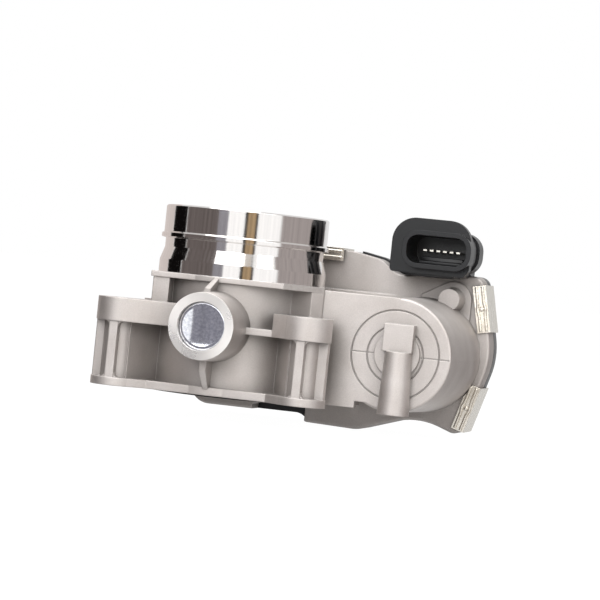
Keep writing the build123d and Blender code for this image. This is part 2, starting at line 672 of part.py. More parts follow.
# ---------------------------------------------------------------- shaft, plate and their bearings
SHAFT_FRONT_Y = FRONT_BEARING_Y + 0.4
SHAFT_REAR_Y = SECTOR_TOP_Y - 0.6
SCREW_PLACES = (-13.0, 13.0)
SCREW_R = 2.0
SCREW_HEAD_R = 3.5
FLAT_HEIGHT = SHAFT_R - 1.6
FLAT_HALF = BORE_R - 4.5
PLATE_PLANE = Plane(
    origin=(0, 0, SHAFT_Z),
    x_dir=(cos(radians(REST_TILT)), 0, -sin(radians(REST_TILT))),
    z_dir=(sin(radians(REST_TILT)), 0, cos(radians(REST_TILT))),
)

with BuildPart() as throttle_shaft:
    bar(SHAFT_R, SHAFT_FRONT_Y, SHAFT_REAR_Y)
    chamfer(throttle_shaft.edges().group_by(Axis.Y)[0], length=0.6)
    with BuildSketch(PLATE_PLANE.offset(FLAT_HEIGHT)):
        Rectangle(4 * SHAFT_R, 2 * FLAT_HALF)
    extrude(amount=SHAFT_R, mode=Mode.SUBTRACT)
    with BuildSketch(PLATE_PLANE.offset(-PLATE_T / 2 - SLIP)):
        Rectangle(4 * SHAFT_R, 2 * (BORE_R - PLATE_GAP))
    extrude(amount=PLATE_T + 2 * SLIP, mode=Mode.SUBTRACT)
    with BuildSketch(PLATE_PLANE.offset(-SHAFT_R)):
        with Locations(*[(0, y) for y in SCREW_PLACES]):
            Circle(SCREW_R)
    extrude(amount=2 * SHAFT_R, mode=Mode.SUBTRACT)

with BuildPart() as throttle_plate:
    with BuildSketch(PLATE_PLANE.offset(-PLATE_T / 2)):
        Circle(BORE_R - PLATE_GAP)
        with Locations(*[(0, y) for y in SCREW_PLACES]):
            Circle(SCREW_R + SLIP, mode=Mode.SUBTRACT)
    extrude(amount=PLATE_T)
    rim = throttle_plate.edges().filter_by(GeomType.CIRCLE).sort_by(SortBy.RADIUS)[-2:]
    chamfer(rim, length=0.4)

with BuildPart() as plate_screws:
    with BuildSketch(PLATE_PLANE.offset(-FLAT_HEIGHT)):
        with Locations(*[(0, y) for y in SCREW_PLACES]):
            Circle(SCREW_R)
    extrude(amount=2 * FLAT_HEIGHT)
    with BuildSketch(PLATE_PLANE.offset(FLAT_HEIGHT)):
        with Locations(*[(0, y) for y in SCREW_PLACES]):
            Circle(SCREW_HEAD_R)
    extrude(amount=1.5)
    with BuildSketch(PLATE_PLANE.offset(FLAT_HEIGHT + 1.5)):
        with Locations(*[(0, y) for y in SCREW_PLACES]):
            RegularPolygon(1.3, 6)
    extrude(amount=-1.1, mode=Mode.SUBTRACT)

with BuildPart() as front_needle_bearing:
    bar(FRONT_BEARING_R, FRONT_BEARING_Y, FRONT_SEAL_Y)
    bar(SHAFT_R + RUN, FRONT_BEARING_Y - 1, FRONT_SEAL_Y + 1, mode=Mode.SUBTRACT)

with BuildPart() as rear_ball_bearing:
    bar(REAR_BEARING_R, REAR_BEARING_Y, REAR_BEARING_Y + REAR_BEARING_L)
    bar(SHAFT_R + RUN, REAR_BEARING_Y - 1, REAR_BEARING_Y + REAR_BEARING_L + 1, mode=Mode.SUBTRACT)
    for y in (REAR_BEARING_Y - 0.01, REAR_BEARING_Y + REAR_BEARING_L - 0.4):
        with BuildSketch(at_y(y + 0.41)):
            with Locations((0, SHAFT_Z)):
                Circle(SHAFT_R + 2.5)
                Circle(SHAFT_R + 1.2, mode=Mode.SUBTRACT)
        extrude(amount=0.41, mode=Mode.SUBTRACT)

with BuildPart() as front_shaft_seal:
    bar(SEAL_R, FRONT_SEAL_Y, FRONT_SEAL_Y + SEAL_L)
    bar(SHAFT_R + 2 * RUN, FRONT_SEAL_Y - 1, FRONT_SEAL_Y + SEAL_L + 1, mode=Mode.SUBTRACT)

with BuildPart() as rear_shaft_seal:
    bar(SEAL_R, REAR_SEAL_Y, REAR_BEARING_Y)
    bar(SHAFT_R + 2 * RUN, REAR_SEAL_Y - 1, REAR_BEARING_Y + 1, mode=Mode.SUBTRACT)

with BuildPart() as shaft_end_plug:
    bar(PLUG_R, PLUG_FACE_Y, PLUG_FACE_Y + PLUG_SKIRT)
    fillet(shaft_end_plug.edges().group_by(Axis.Y)[0], radius=0.8)
    bar(PLUG_R - PLUG_T, PLUG_FACE_Y + PLUG_T, PLUG_FACE_Y + PLUG_SKIRT + 1, mode=Mode.SUBTRACT)

# ---------------------------------------------------------------- sector gear, magnet and spring
HUB_R = SHAFT_R + 4.2
HUB_FRONT_Y = REAR_BOSS_Y + 0.6
MAGNET_R = HUB_R - 1.8
MAGNET_HOLE_R = 3.2
MAGNET_L = 3.2
SPRING_PITCH = 1.5
SPRING_Y = CASE_FLOOR_Y + WIRE_R + 0.1
SPRING_LENGTH = 6.0


def sector_outline():
    """Teeth over a little more than the shaft's travel, closed through the hub."""
    teeth = gear_points(SECTOR_TEETH, SECTOR_MODULE, SECTOR_START, SECTOR_TOOTH_COUNT)
    late = on_circle(0, 0, HUB_R - 1, SECTOR_END + SECTOR_LAND)
    early = on_circle(0, 0, HUB_R - 1, SECTOR_START - SECTOR_LAND)
    with BuildSketch() as outline:
        with BuildLine():
            Polyline(*teeth, late, early, close=True)
        make_face()
    return outline.sketch


with BuildPart() as sector_gear:
    extrude_across(sector_outline(), 0, SHAFT_Z, SECTOR_Y, SECTOR_TOP_Y)
    bar(HUB_R, HUB_FRONT_Y, SECTOR_TOP_Y)
    bar(SHAFT_R, HUB_FRONT_Y - 1, SHAFT_REAR_Y, mode=Mode.SUBTRACT)
    for angle in (SECTOR_START + 12, (SECTOR_START + SECTOR_END) / 2, SECTOR_END - 12):
        x, z = on_circle(0, SHAFT_Z, 16.6, angle)
        bar(4.2, SECTOR_Y - 1, SECTOR_TOP_Y + 1, x, z, Mode.SUBTRACT)

with BuildPart() as sensor_magnet:
    bar(MAGNET_R, SECTOR_TOP_Y, SECTOR_TOP_Y + MAGNET_L)
    bar(MAGNET_HOLE_R, SECTOR_Y, SECTOR_TOP_Y + MAGNET_L + 1, mode=Mode.SUBTRACT)

with BuildPart() as return_spring:
    with BuildLine() as coil:
        Helix(SPRING_PITCH, SPRING_LENGTH, SPRING_R, center=(0, SPRING_Y, SHAFT_Z), direction=(0, 1, 0))
    with BuildSketch(Plane(origin=coil.line @ 0, z_dir=coil.line % 0)):
        Circle(WIRE_R)
    sweep(path=coil.line, is_frenet=True)

with BuildPart() as stop_screw:
    with Locations(STOP_SCREW_SEAT):
        Cylinder(STOP_SCREW_R, 2 * (STOP_POST_R + STOP_SCREW_PROUD))

# ---------------------------------------------------------------- idler
with BuildPart() as idler_pin:
    bar(IDLER_PIN_R, CASE_FRONT_Y + 1.5, IDLER_PIN_END_Y, IDLER_X, IDLER_Z)

with BuildPart() as idler_gear:
    extrude_across(
        gear_face(IDLER_LARGE_TEETH, IDLER_MODULE, MOTOR_ANGLE),
        IDLER_X,
        IDLER_Z,
        WHEEL_Y,
        WHEEL_Y + WHEEL_T,
    )
    extrude_across(
        gear_face(IDLER_SMALL_TEETH, SECTOR_MODULE, IDLER_ANGLE + 180 * (1 + 1 / IDLER_SMALL_TEETH)),
        IDLER_X,
        IDLER_Z,
        WHEEL_Y,
        SECTOR_TOP_Y + 0.6,
    )
    bar(IDLER_PIN_R + RUN, WHEEL_Y - 1, COVER_TOP_Y, IDLER_X, IDLER_Z, Mode.SUBTRACT)
    for angle in range(0, 360, 60):
        x, z = on_circle(IDLER_X, IDLER_Z, 15.0, MOTOR_ANGLE + angle)
        bar(3.0, WHEEL_Y - 1, WHEEL_Y + WHEEL_T + 1, x, z, Mode.SUBTRACT)

# ---------------------------------------------------------------- motor
MOTOR_SHAFT_R = 1.5
CAN_FRONT_Y = POCKET_FLOOR_Y + 1.1
CAN_T = 1.3
CAN_REAR_Y = CASE_FLOOR_Y
END_PLATE_T = 1.5
END_PLATE_R = MOTOR_R + 2.0
END_PLATE_Y = CASE_FLOOR_Y + END_PLATE_T
BUSH_R = 3.4
BUSH_L = 3.6
BRUSH_FRONT_Y = CASE_FLOOR_Y - 8.0
MAGNET_INNER_R = MOTOR_R - CAN_T - 3.3
CORE_R = MAGNET_INNER_R - 0.6
CORE_FRONT_Y = CAN_FRONT_Y + 7.4
CORE_REAR_Y = BRUSH_FRONT_Y - 8.5
SLOT_COUNT = 5
SLOT_R = 2.9
SLOT_CIRCLE_R = CORE_R - 3.9
COMMUTATOR_R = 4.4
BRUSH_W = 4.0
PINION_FRONT_Y = WHEEL_Y - 0.8
PINION_REAR_Y = WHEEL_Y + WHEEL_T + 0.8
PINION_PHASE = MOTOR_ANGLE + 180 * (1 + 1 / PINION_TEETH)


def motor_bar(radius, front, rear, mode=Mode.ADD):
    """A round bar or hole on the motor's axis."""
    bar(radius, front, rear, MOTOR_X, MOTOR_Z, mode)


with BuildPart() as wave_washer:
    motor_bar(10.0, POCKET_FLOOR_Y, CAN_FRONT_Y)
    motor_bar(6.0, POCKET_FLOOR_Y - 1, CAN_FRONT_Y + 1, Mode.SUBTRACT)

with BuildPart() as motor_can:
    motor_bar(MOTOR_R, CAN_FRONT_Y, CAN_REAR_Y)
    motor_bar(MOTOR_R - CAN_T, CAN_FRONT_Y + CAN_T, CAN_REAR_Y + 1, Mode.SUBTRACT)

with BuildPart() as motor_rear_bush:
    motor_bar(BUSH_R, CAN_FRONT_Y + CAN_T, CAN_FRONT_Y + CAN_T + BUSH_L)
    motor_bar(MOTOR_SHAFT_R + RUN, CAN_FRONT_Y, CAN_REAR_Y, Mode.SUBTRACT)

with BuildPart() as motor_magnets:
    with BuildSketch(at_y(CORE_REAR_Y + 1)):
        with Locations((MOTOR_X, MOTOR_Z)):
            Circle(MOTOR_R - CAN_T)
            Circle(MAGNET_INNER_R, mode=Mode.SUBTRACT)
            Rectangle(12, 3 * MOTOR_R, mode=Mode.SUBTRACT)
    extrude(amount=CORE_REAR_Y - CORE_FRONT_Y + 2)

with BuildPart() as motor_shaft:
    motor_bar(MOTOR_SHAFT_R, CAN_FRONT_Y + CAN_T + 0.3, PINION_REAR_Y + 0.4)

with BuildPart() as armature_core:
    motor_bar(CORE_R, CORE_FRONT_Y, CORE_REAR_Y)
    motor_bar(MOTOR_SHAFT_R, CORE_FRONT_Y - 1, CORE_REAR_Y + 1, Mode.SUBTRACT)
    for slot in range(SLOT_COUNT):
        x, z = on_circle(MOTOR_X, MOTOR_Z, SLOT_CIRCLE_R, 360 * slot / SLOT_COUNT)
        bar(SLOT_R, CORE_FRONT_Y - 1, CORE_REAR_Y + 1, x, z, Mode.SUBTRACT)

with BuildPart() as armature_windings:
    for front, rear in ((CORE_FRONT_Y - 2.4, CORE_FRONT_Y), (CORE_REAR_Y, CORE_REAR_Y + 2.4)):
        motor_bar(SLOT_CIRCLE_R + SLOT_R - 0.2, front, rear)
    for slot in range(SLOT_COUNT):
        x, z = on_circle(MOTOR_X, MOTOR_Z, SLOT_CIRCLE_R, 360 * slot / SLOT_COUNT)
        bar(SLOT_R - SLIP, CORE_FRONT_Y - 1, CORE_REAR_Y + 1, x, z)
    motor_bar(COMMUTATOR_R, CORE_FRONT_Y - 5, CORE_FRONT_Y, Mode.SUBTRACT)
    motor_bar(COMMUTATOR_R, CORE_REAR_Y, CORE_REAR_Y + 5, Mode.SUBTRACT)

with BuildPart() as commutator:
    motor_bar(COMMUTATOR_R, CORE_REAR_Y, BRUSH_FRONT_Y + BRUSH_W + 0.8)
    motor_bar(MOTOR_SHAFT_R, CORE_REAR_Y - 1, CASE_FLOOR_Y, Mode.SUBTRACT)

with BuildPart() as motor_end_plate:
    motor_bar(MOTOR_R - CAN_T - SLIP, BRUSH_FRONT_Y - 1.6, CASE_FLOOR_Y)
    motor_bar(COMMUTATOR_R + 2.4, BRUSH_FRONT_Y - 2, BRUSH_FRONT_Y + BRUSH_W + 1.6, Mode.SUBTRACT)
    with Locations((MOTOR_X, BRUSH_FRONT_Y + BRUSH_W / 2, MOTOR_Z)):
        Box(2 * (MOTOR_R - CAN_T) + 4, BRUSH_W, BRUSH_W, mode=Mode.SUBTRACT)
    motor_bar(END_PLATE_R, CASE_FLOOR_Y, END_PLATE_Y)
    for x, z in MOTOR_SCREW_PLACES:
        bar(3.4, CASE_FLOOR_Y, END_PLATE_Y, x, z)
        bar(MOTOR_SCREW_R + SLIP, CASE_FLOOR_Y - 1, END_PLATE_Y + 1, x, z, Mode.SUBTRACT)
    motor_bar(BUSH_R, END_PLATE_Y - BUSH_L, END_PLATE_Y + 1, Mode.SUBTRACT)
    motor_bar(MOTOR_SHAFT_R + GAP, BRUSH_FRONT_Y, END_PLATE_Y, Mode.SUBTRACT)

with BuildPart() as motor_front_bush:
    motor_bar(BUSH_R, END_PLATE_Y - BUSH_L, END_PLATE_Y + 0.6)
    motor_bar(MOTOR_SHAFT_R + RUN, CASE_FRONT_Y - 1, END_PLATE_Y + 2, Mode.SUBTRACT)

with BuildPart() as motor_brushes:
    for side in (-1, 1):
        ends = sorted((MOTOR_X + side * (COMMUTATOR_R + RUN), MOTOR_X + side * 12.0))
        low = (ends[0], BRUSH_FRONT_Y, MOTOR_Z - BRUSH_W / 2)
        high = (ends[1], BRUSH_FRONT_Y + BRUSH_W, MOTOR_Z + BRUSH_W / 2)
        block(low, high)

with BuildPart() as motor_screws:
    for x, z in MOTOR_SCREW_PLACES:
        bar(MOTOR_SCREW_R, MOTOR_SCREW_TIP_Y, END_PLATE_Y, x, z)
        bar(2.7, END_PLATE_Y, END_PLATE_Y + 1.6, x, z)
        with BuildSketch(at_y(END_PLATE_Y + 1.6)):
            with Locations((x, z)):
                RegularPolygon(1.4, 6)
        extrude(amount=0.9, mode=Mode.SUBTRACT)

with BuildPart() as motor_terminals:
    for offset_z in (-5.0, 5.0):
        low = (MOTOR_X + 11.6, END_PLATE_Y, MOTOR_Z + offset_z - 1.6)
        high = (MOTOR_X + 12.4, COVER_LOW_Y - COVER_WALL, MOTOR_Z + offset_z + 1.6)
        block(low, high)

with BuildPart() as motor_pinion:
    extrude_across(
        gear_face(PINION_TEETH, IDLER_MODULE, PINION_PHASE), MOTOR_X, MOTOR_Z, PINION_FRONT_Y, PINION_REAR_Y
    )
    motor_bar(MOTOR_SHAFT_R, PINION_FRONT_Y - 1, PINION_REAR_Y + 1, Mode.SUBTRACT)

# ---------------------------------------------------------------- gear cover, gasket and clips
BAY_EDGE_X = MOTOR_X - 3.5
COVER_INSIDE_Y = COVER_TOP_Y - COVER_WALL
BOARD_T = 1.2
DOME_R = 14.0
CONNECTOR_CORNERS = [
    (SOCKET_X - 18.0, SOCKET_Z - 9.1, 1.5),
    (SOCKET_X - 18.0, SOCKET_Z + 11.7, 9.0),
    (SOCKET_X + 12.0, SOCKET_Z + 11.7, 8.5),
    (SOCKET_X + 12.3, SOCKET_Z - 6.4, 3.0),
    (SOCKET_X + 10.4, SOCKET_Z - 9.1, 1.0),
]
NECK_CORNERS = [
    (SOCKET_X - 17.0, SOCKET_Z - 9.1, 1.5),
    (SOCKET_X - 17.0, SOCKET_Z + 9.0, 7.0),
    (SOCKET_X + 8.5, SOCKET_Z + 9.0, 7.0),
    (SOCKET_X + 8.5, SOCKET_Z - 9.1, 1.0),
]


def bay_outline(inset):
    """The tall part of the cover, over the sector and the idler."""
    with BuildSketch() as outline:
        add(case_outline(COVER_STEP + inset))
        with Locations((BAY_EDGE_X - inset - 100, SHAFT_Z)):
            Rectangle(200, 200, mode=Mode.INTERSECT)
    return outline.sketch


with BuildPart() as gear_cover:
    with BuildSketch(at_y(COVER_FLANGE_Y)):
        add(case_outline())
    extrude(amount=COVER_FLANGE_T)
    with BuildSketch(at_y(COVER_LOW_Y)):
        add(case_outline(COVER_STEP))
    extrude(amount=COVER_LOW_Y - GASKET_Y)
    fillet(gear_cover.faces().sort_by(Axis.Y)[-1].edges(), radius=1.2)
    with BuildSketch(at_y(COVER_TOP_Y)):
        add(bay_outline(0))
    extrude(amount=COVER_TOP_Y - COVER_FLANGE_Y)
    fillet(gear_cover.faces().sort_by(Axis.Y)[-1].edges(), radius=1.5)
    bar(DOME_R, COVER_TOP_Y - 1, COVER_TOP_Y + 1.4)
    fillet(gear_cover.faces().sort_by(Axis.Y)[-1].edges(), radius=0.8)
    # connector body and its shroud
    for corners, front, rear in (
        (CONNECTOR_CORNERS, COLLAR_Y, COLLAR_Y + COLLAR_T),
        (NECK_CORNERS, CASE_FRONT_Y + 1, COVER_LOW_Y - 2),
    ):
        with BuildSketch(at_y(rear)):
            with BuildLine():
                FilletPolyline(
                    *[(x, z) for x, z, radius in corners],
                    radius=[radius for x, z, radius in corners],
                    close=True,
                )
            make_face()
        extrude(amount=rear - front)
    for wall, front, rear in (
        (SHROUD_WALL, SOCKET_RIM_Y, CASE_FRONT_Y + 2),
        (SHROUD_WALL + SHROUD_RIDGE, CASE_FRONT_Y + 2 - SHROUD_RIDGE_L, CASE_FRONT_Y + 2),
    ):
        shroud = stadium(SOCKET_W + 2 * wall, SOCKET_H + 2 * wall, SOCKET_CORNER_R + wall)
        extrude_across(shroud, SOCKET_X, SOCKET_Z, front, rear)
    block(
        (SOCKET_X - FOOT_REACH, COLLAR_Y + 1, SOCKET_Z - 9.1),
        (SOCKET_X + FOOT_REACH - 6, CASE_FRONT_Y + 2, SOCKET_Z - SOCKET_H / 2),
    )
    # a low brow over the idler bay, between the top clip and the connector
    with BuildSketch(at_y(COVER_FLANGE_Y)):
        add(case_outline(-BROW))
        with Locations((BROW_X, SOCKET_Z)):
            Rectangle(BROW_L, SOCKET_H * 2, mode=Mode.INTERSECT)
    extrude(amount=COVER_FLANGE_T)
    with BuildSketch(at_y(GASKET_Y)):
        add(case_outline(-GAP))
    extrude(amount=GASKET_Y - CASE_FRONT_Y + GAP, mode=Mode.SUBTRACT)
    # room inside for the gears and the motor end
    with BuildSketch(at_y(GASKET_Y + NOTCH_WEB_T)):
        add(tray_outline(CASE_WALL))
    extrude(amount=NOTCH_WEB_T, mode=Mode.SUBTRACT)
    with BuildSketch(at_y(COVER_FLANGE_Y - COVER_WALL)):
        add(case_outline(CASE_WALL))
    extrude(amount=COVER_FLANGE_T - COVER_WALL - NOTCH_WEB_T, mode=Mode.SUBTRACT)
    with BuildSketch(at_y(COVER_LOW_Y - COVER_WALL)):
        add(case_outline(COVER_STEP + COVER_WALL))
    extrude(amount=COVER_LOW_Y - COVER_WALL - GASKET_Y - NOTCH_WEB_T, mode=Mode.SUBTRACT)
    with BuildSketch(at_y(COVER_INSIDE_Y)):
        add(bay_outline(COVER_WALL))
    extrude(amount=COVER_INSIDE_Y - GASKET_Y - NOTCH_WEB_T, mode=Mode.SUBTRACT)
    bar(5.0, SECTOR_TOP_Y + 1.2, COVER_INSIDE_Y + 1, IDLER_X, IDLER_Z)
    bar(IDLER_PIN_R, SECTOR_Y, IDLER_PIN_END_Y, IDLER_X, IDLER_Z, Mode.SUBTRACT)
    extrude_across(
        stadium(SOCKET_W, SOCKET_H, SOCKET_CORNER_R),
        SOCKET_X,
        SOCKET_Z,
        SOCKET_RIM_Y - 1,
        SOCKET_FLOOR_Y,
        Mode.SUBTRACT,
    )
    with BuildSketch(at_y(PARTING_Y)):
        with Locations((SOCKET_X, SOCKET_Z)):
            with GridLocations(PIN_PITCH, PIN_PITCH, PIN_COUNT, 1):
                Rectangle(PIN_W, PIN_T)
    extrude(amount=PARTING_Y - SOCKET_FLOOR_Y, mode=Mode.SUBTRACT)

with BuildPart() as connector_pins:
    with BuildSketch(at_y(PARTING_Y)):
        with Locations((SOCKET_X, SOCKET_Z)):
            with GridLocations(PIN_PITCH, PIN_PITCH, PIN_COUNT, 1):
                Rectangle(PIN_W, PIN_T)
    extrude(amount=PARTING_Y - PIN_TIP_Y)

with BuildPart() as sensor_board:
    block((-13, COVER_INSIDE_Y - BOARD_T, SHAFT_Z - 14), (13, COVER_INSIDE_Y, SHAFT_Z + 14))

with BuildPart() as cover_gasket:
    with BuildSketch(at_y(GASKET_Y)):
        add(tray_outline(0.5))
        add(tray_outline(CASE_WALL - 0.5), mode=Mode.SUBTRACT)
    extrude(amount=GASKET_T)


def clip_plane(side, distance):
    """A plane across a clip: x points out of the case, y runs back along the case's side."""
    x, z, radius = CASE_CORNERS[side]
    next_x, next_z, next_radius = CASE_CORNERS[side + 1]
    length = hypot(next_x - x, next_z - z)
    along_x = (next_x - x) / length
    along_z = (next_z - z) / length
    middle = (x + along_x * distance, 0, z + along_z * distance)
    return Plane(origin=middle, x_dir=(-along_z, 0, along_x), z_dir=(-along_x, 0, -along_z))


with BuildPart() as cover_clips:
    for side, distance in CLIP_SEATS:
        with BuildSketch(clip_plane(side, distance)):
            with BuildLine():
                Polyline(
                    (-CLIP_LIP, CASE_FRONT_Y),
                    (-CLIP_LIP, CASE_FRONT_Y - CLIP_T),
                    (CLIP_T + SLIP, CASE_FRONT_Y - CLIP_T),
                    (CLIP_T + SLIP, COVER_FLANGE_Y + CLIP_T),
                    (-COVER_STEP + GAP, COVER_FLANGE_Y + CLIP_T),
                    (-COVER_STEP + GAP, COVER_FLANGE_Y),
                    (SLIP, COVER_FLANGE_Y),
                    (SLIP, CASE_FRONT_Y),
                    close=True,
                )
            make_face()
        extrude(amount=CLIP_L / 2, both=True)
    # relieved where a lip would meet the motor barrel
    bar(BARREL_BASE_R + GAP, CASE_FRONT_Y - 2 * CLIP_T, CASE_FRONT_Y, MOTOR_X, MOTOR_Z, Mode.SUBTRACT)

with BuildPart() as flange_seal:
    with BuildSketch(Plane.XY.offset(-SEAL_PROUD)):
        Circle(SEAL_GROOVE_R + SEAL_WIDTH - SLIP)
        Circle(SEAL_GROOVE_R + SLIP, mode=Mode.SUBTRACT)
    extrude(amount=SEAL_GROOVE_D + SEAL_PROUD)

# ---------------------------------------------------------------- one file for each piece
pieces = {
    "throttle_housing": throttle_housing,
    "throttle_shaft": throttle_shaft,
    "throttle_plate": throttle_plate,
    "plate_screws": plate_screws,
    "front_needle_bearing": front_needle_bearing,
    "rear_ball_bearing": rear_ball_bearing,
    "front_shaft_seal": front_shaft_seal,
    "rear_shaft_seal": rear_shaft_seal,
    "shaft_end_plug": shaft_end_plug,
    "sector_gear": sector_gear,
    "sensor_magnet": sensor_magnet,
    "return_spring": return_spring,
    "stop_screw": stop_screw,
    "idler_pin": idler_pin,
    "idler_gear": idler_gear,
    "wave_washer": wave_washer,
    "motor_can": motor_can,
    "motor_rear_bush": motor_rear_bush,
    "motor_front_bush": motor_front_bush,
    "motor_magnets": motor_magnets,
    "motor_shaft": motor_shaft,
    "armature_core": armature_core,
    "armature_windings": armature_windings,
    "commutator": commutator,
    "motor_end_plate": motor_end_plate,
    "motor_brushes": motor_brushes,
    "motor_screws": motor_screws,
    "motor_terminals": motor_terminals,
    "motor_pinion": motor_pinion,
    "gear_cover": gear_cover,
    "connector_pins": connector_pins,
    "sensor_board": sensor_board,
    "cover_gasket": cover_gasket,
    "cover_clips": cover_clips,
    "flange_seal": flange_seal,
}
os.makedirs("parts", exist_ok=True)
for name, piece in pieces.items():
    piece.part.label = name
    export_step(piece.part, f"parts/{name}.step")
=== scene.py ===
# %% [markdown]
# # An electronic throttle body, dressed for a product picture
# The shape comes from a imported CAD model, one mesh for each real piece. This lesson gives every
# piece a material made of nodes, adds the small pressed and moulded details that the CAD leaves
# plain, and sets up a light table with a camera. The scene is in metres. Where a name ends in mm,
# or a comment says millimetres, a value is in millimetres and MM turns it to metres.

# %% Load the model
import math

import bmesh
import bpy
from mathutils import Matrix, Vector


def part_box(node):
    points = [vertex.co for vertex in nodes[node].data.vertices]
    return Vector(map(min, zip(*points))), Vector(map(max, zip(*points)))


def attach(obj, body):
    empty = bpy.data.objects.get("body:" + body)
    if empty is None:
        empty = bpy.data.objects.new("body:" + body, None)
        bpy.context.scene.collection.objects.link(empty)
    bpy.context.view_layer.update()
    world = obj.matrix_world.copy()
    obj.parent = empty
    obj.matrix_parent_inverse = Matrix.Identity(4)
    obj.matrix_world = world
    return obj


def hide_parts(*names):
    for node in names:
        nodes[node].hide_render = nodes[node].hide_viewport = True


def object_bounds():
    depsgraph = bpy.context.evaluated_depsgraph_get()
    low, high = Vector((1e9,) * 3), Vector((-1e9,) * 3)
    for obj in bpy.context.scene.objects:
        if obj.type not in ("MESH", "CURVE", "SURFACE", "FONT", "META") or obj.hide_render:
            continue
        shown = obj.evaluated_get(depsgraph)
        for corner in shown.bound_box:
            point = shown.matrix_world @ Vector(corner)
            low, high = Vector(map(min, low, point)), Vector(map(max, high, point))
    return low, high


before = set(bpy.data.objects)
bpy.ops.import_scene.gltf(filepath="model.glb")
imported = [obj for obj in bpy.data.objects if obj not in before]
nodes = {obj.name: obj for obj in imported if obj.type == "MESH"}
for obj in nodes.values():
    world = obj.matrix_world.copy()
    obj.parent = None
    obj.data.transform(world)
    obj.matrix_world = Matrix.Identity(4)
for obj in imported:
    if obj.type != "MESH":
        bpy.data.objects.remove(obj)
cad_box = [list(corner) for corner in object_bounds()]
MM = 0.001
print("pieces:", len(nodes))
print("box in mm:", [[round(v / MM, 1) for v in corner] for corner in cad_box])

# %% [markdown]
# ## Colours
# A hex colour is written for a screen, in sRGB. The renderer works with linear light, so each
# channel is turned to linear once, here, and nowhere else.


# %% One function for colours
def linear(hex_colour):
    """An sRGB hex colour as linear red, green, blue and alpha."""
    channels = [int(hex_colour[i:i + 2], 16) / 255 for i in (1, 3, 5)]
    light = (c / 12.92 if c <= 0.04045 else ((c + 0.055) / 1.055) ** 2.4 for c in channels)
    return (*light, 1.0)


print("mid grey in linear light:", round(linear("#808080")[0], 3))

# %% [markdown]
# ## Building node trees
# A material is a small graph. One function adds a node, fills in its sockets and settings, and
# links what feeds it, so each material below reads as a list of its layers.


# %% One function for nodes
def add_node(tree, kind, values=None, links=None, **settings):
    """Adds a node. values fills sockets by name or number, and links joins outputs to them."""
    node = tree.nodes.new("ShaderNode" + kind)
    for name, value in settings.items():
        setattr(node, name, value)
    for socket, value in (values or {}).items():
        node.inputs[socket].default_value = value
    for socket, output in (links or {}).items():
        tree.links.new(output, node.inputs[socket])
    return node


def start_material(name):
    """An empty node material with its output, as (material, tree, output node)."""
    material = bpy.data.materials.new(name)
    material.use_nodes = True
    tree = material.node_tree
    tree.nodes.clear()
    return material, tree, add_node(tree, "OutputMaterial")


def finish_material(tree, output, surface):
    """Joins the shader to the output."""
    tree.links.new(surface.outputs[0], output.inputs["Surface"])


def tone_ramp(tree, pattern, dark, light, low, high):
    """A ramp from a dark to a light colour while a pattern goes from low to high."""
    ramp = add_node(tree, "ValToRGB", links={"Fac": pattern.outputs["Fac"]})
    start, end = ramp.color_ramp.elements
    start.position, start.color = low, linear(dark)
    end.position, end.color = high, linear(light)
    return ramp


print("node helpers ready")

# %% [markdown]
# ## Patterns by real size
# A noise texture repeats about once for each unit of its coordinates times its scale. Object
# coordinates here are metres, so a feature of a given size in millimetres needs a scale of
# one over that size.


# %% Scale of a pattern
def per(size_mm):
    """The texture scale that makes features about this many millimetres across."""
    return 1.0 / (size_mm * MM)


BEVEL_SAMPLES, FINE_BEVEL_SAMPLES = 4, 6
print("scale for a 0.5 mm grain:", per(0.5))

# %% [markdown]
# ## Bead-blasted die-cast aluminium
# The housing is cast in a steel die and blasted with fine glass beads. Each bead leaves a tiny
# dent, so the metal scatters light widely and looks like a warm, pale, matte grey with a faint
# salt-and-pepper grain. Real dents are near 0.1 mm. They would vanish at this picture size, so
# they are drawn about 0.35 mm wide. Broad, weak clouds of tone come from uneven blasting. Edges
# from a die are never sharp: a Bevel node rounds the shading by 0.6 mm. An Ambient Occlusion node
# paints shade into the colour: the metal is darker in pockets and where walls close in, as
# painted shade of the recesses.


# %% Cast aluminium
CLOUD_MM, BEAD_MM, PAINTED_SHADE_MM = 14, 0.35, 14
SPECK_DARK, SPECK_LIGHT = 0.94, 1.05
BLAST_SPREAD = 0.06
AO_SAMPLES = 8


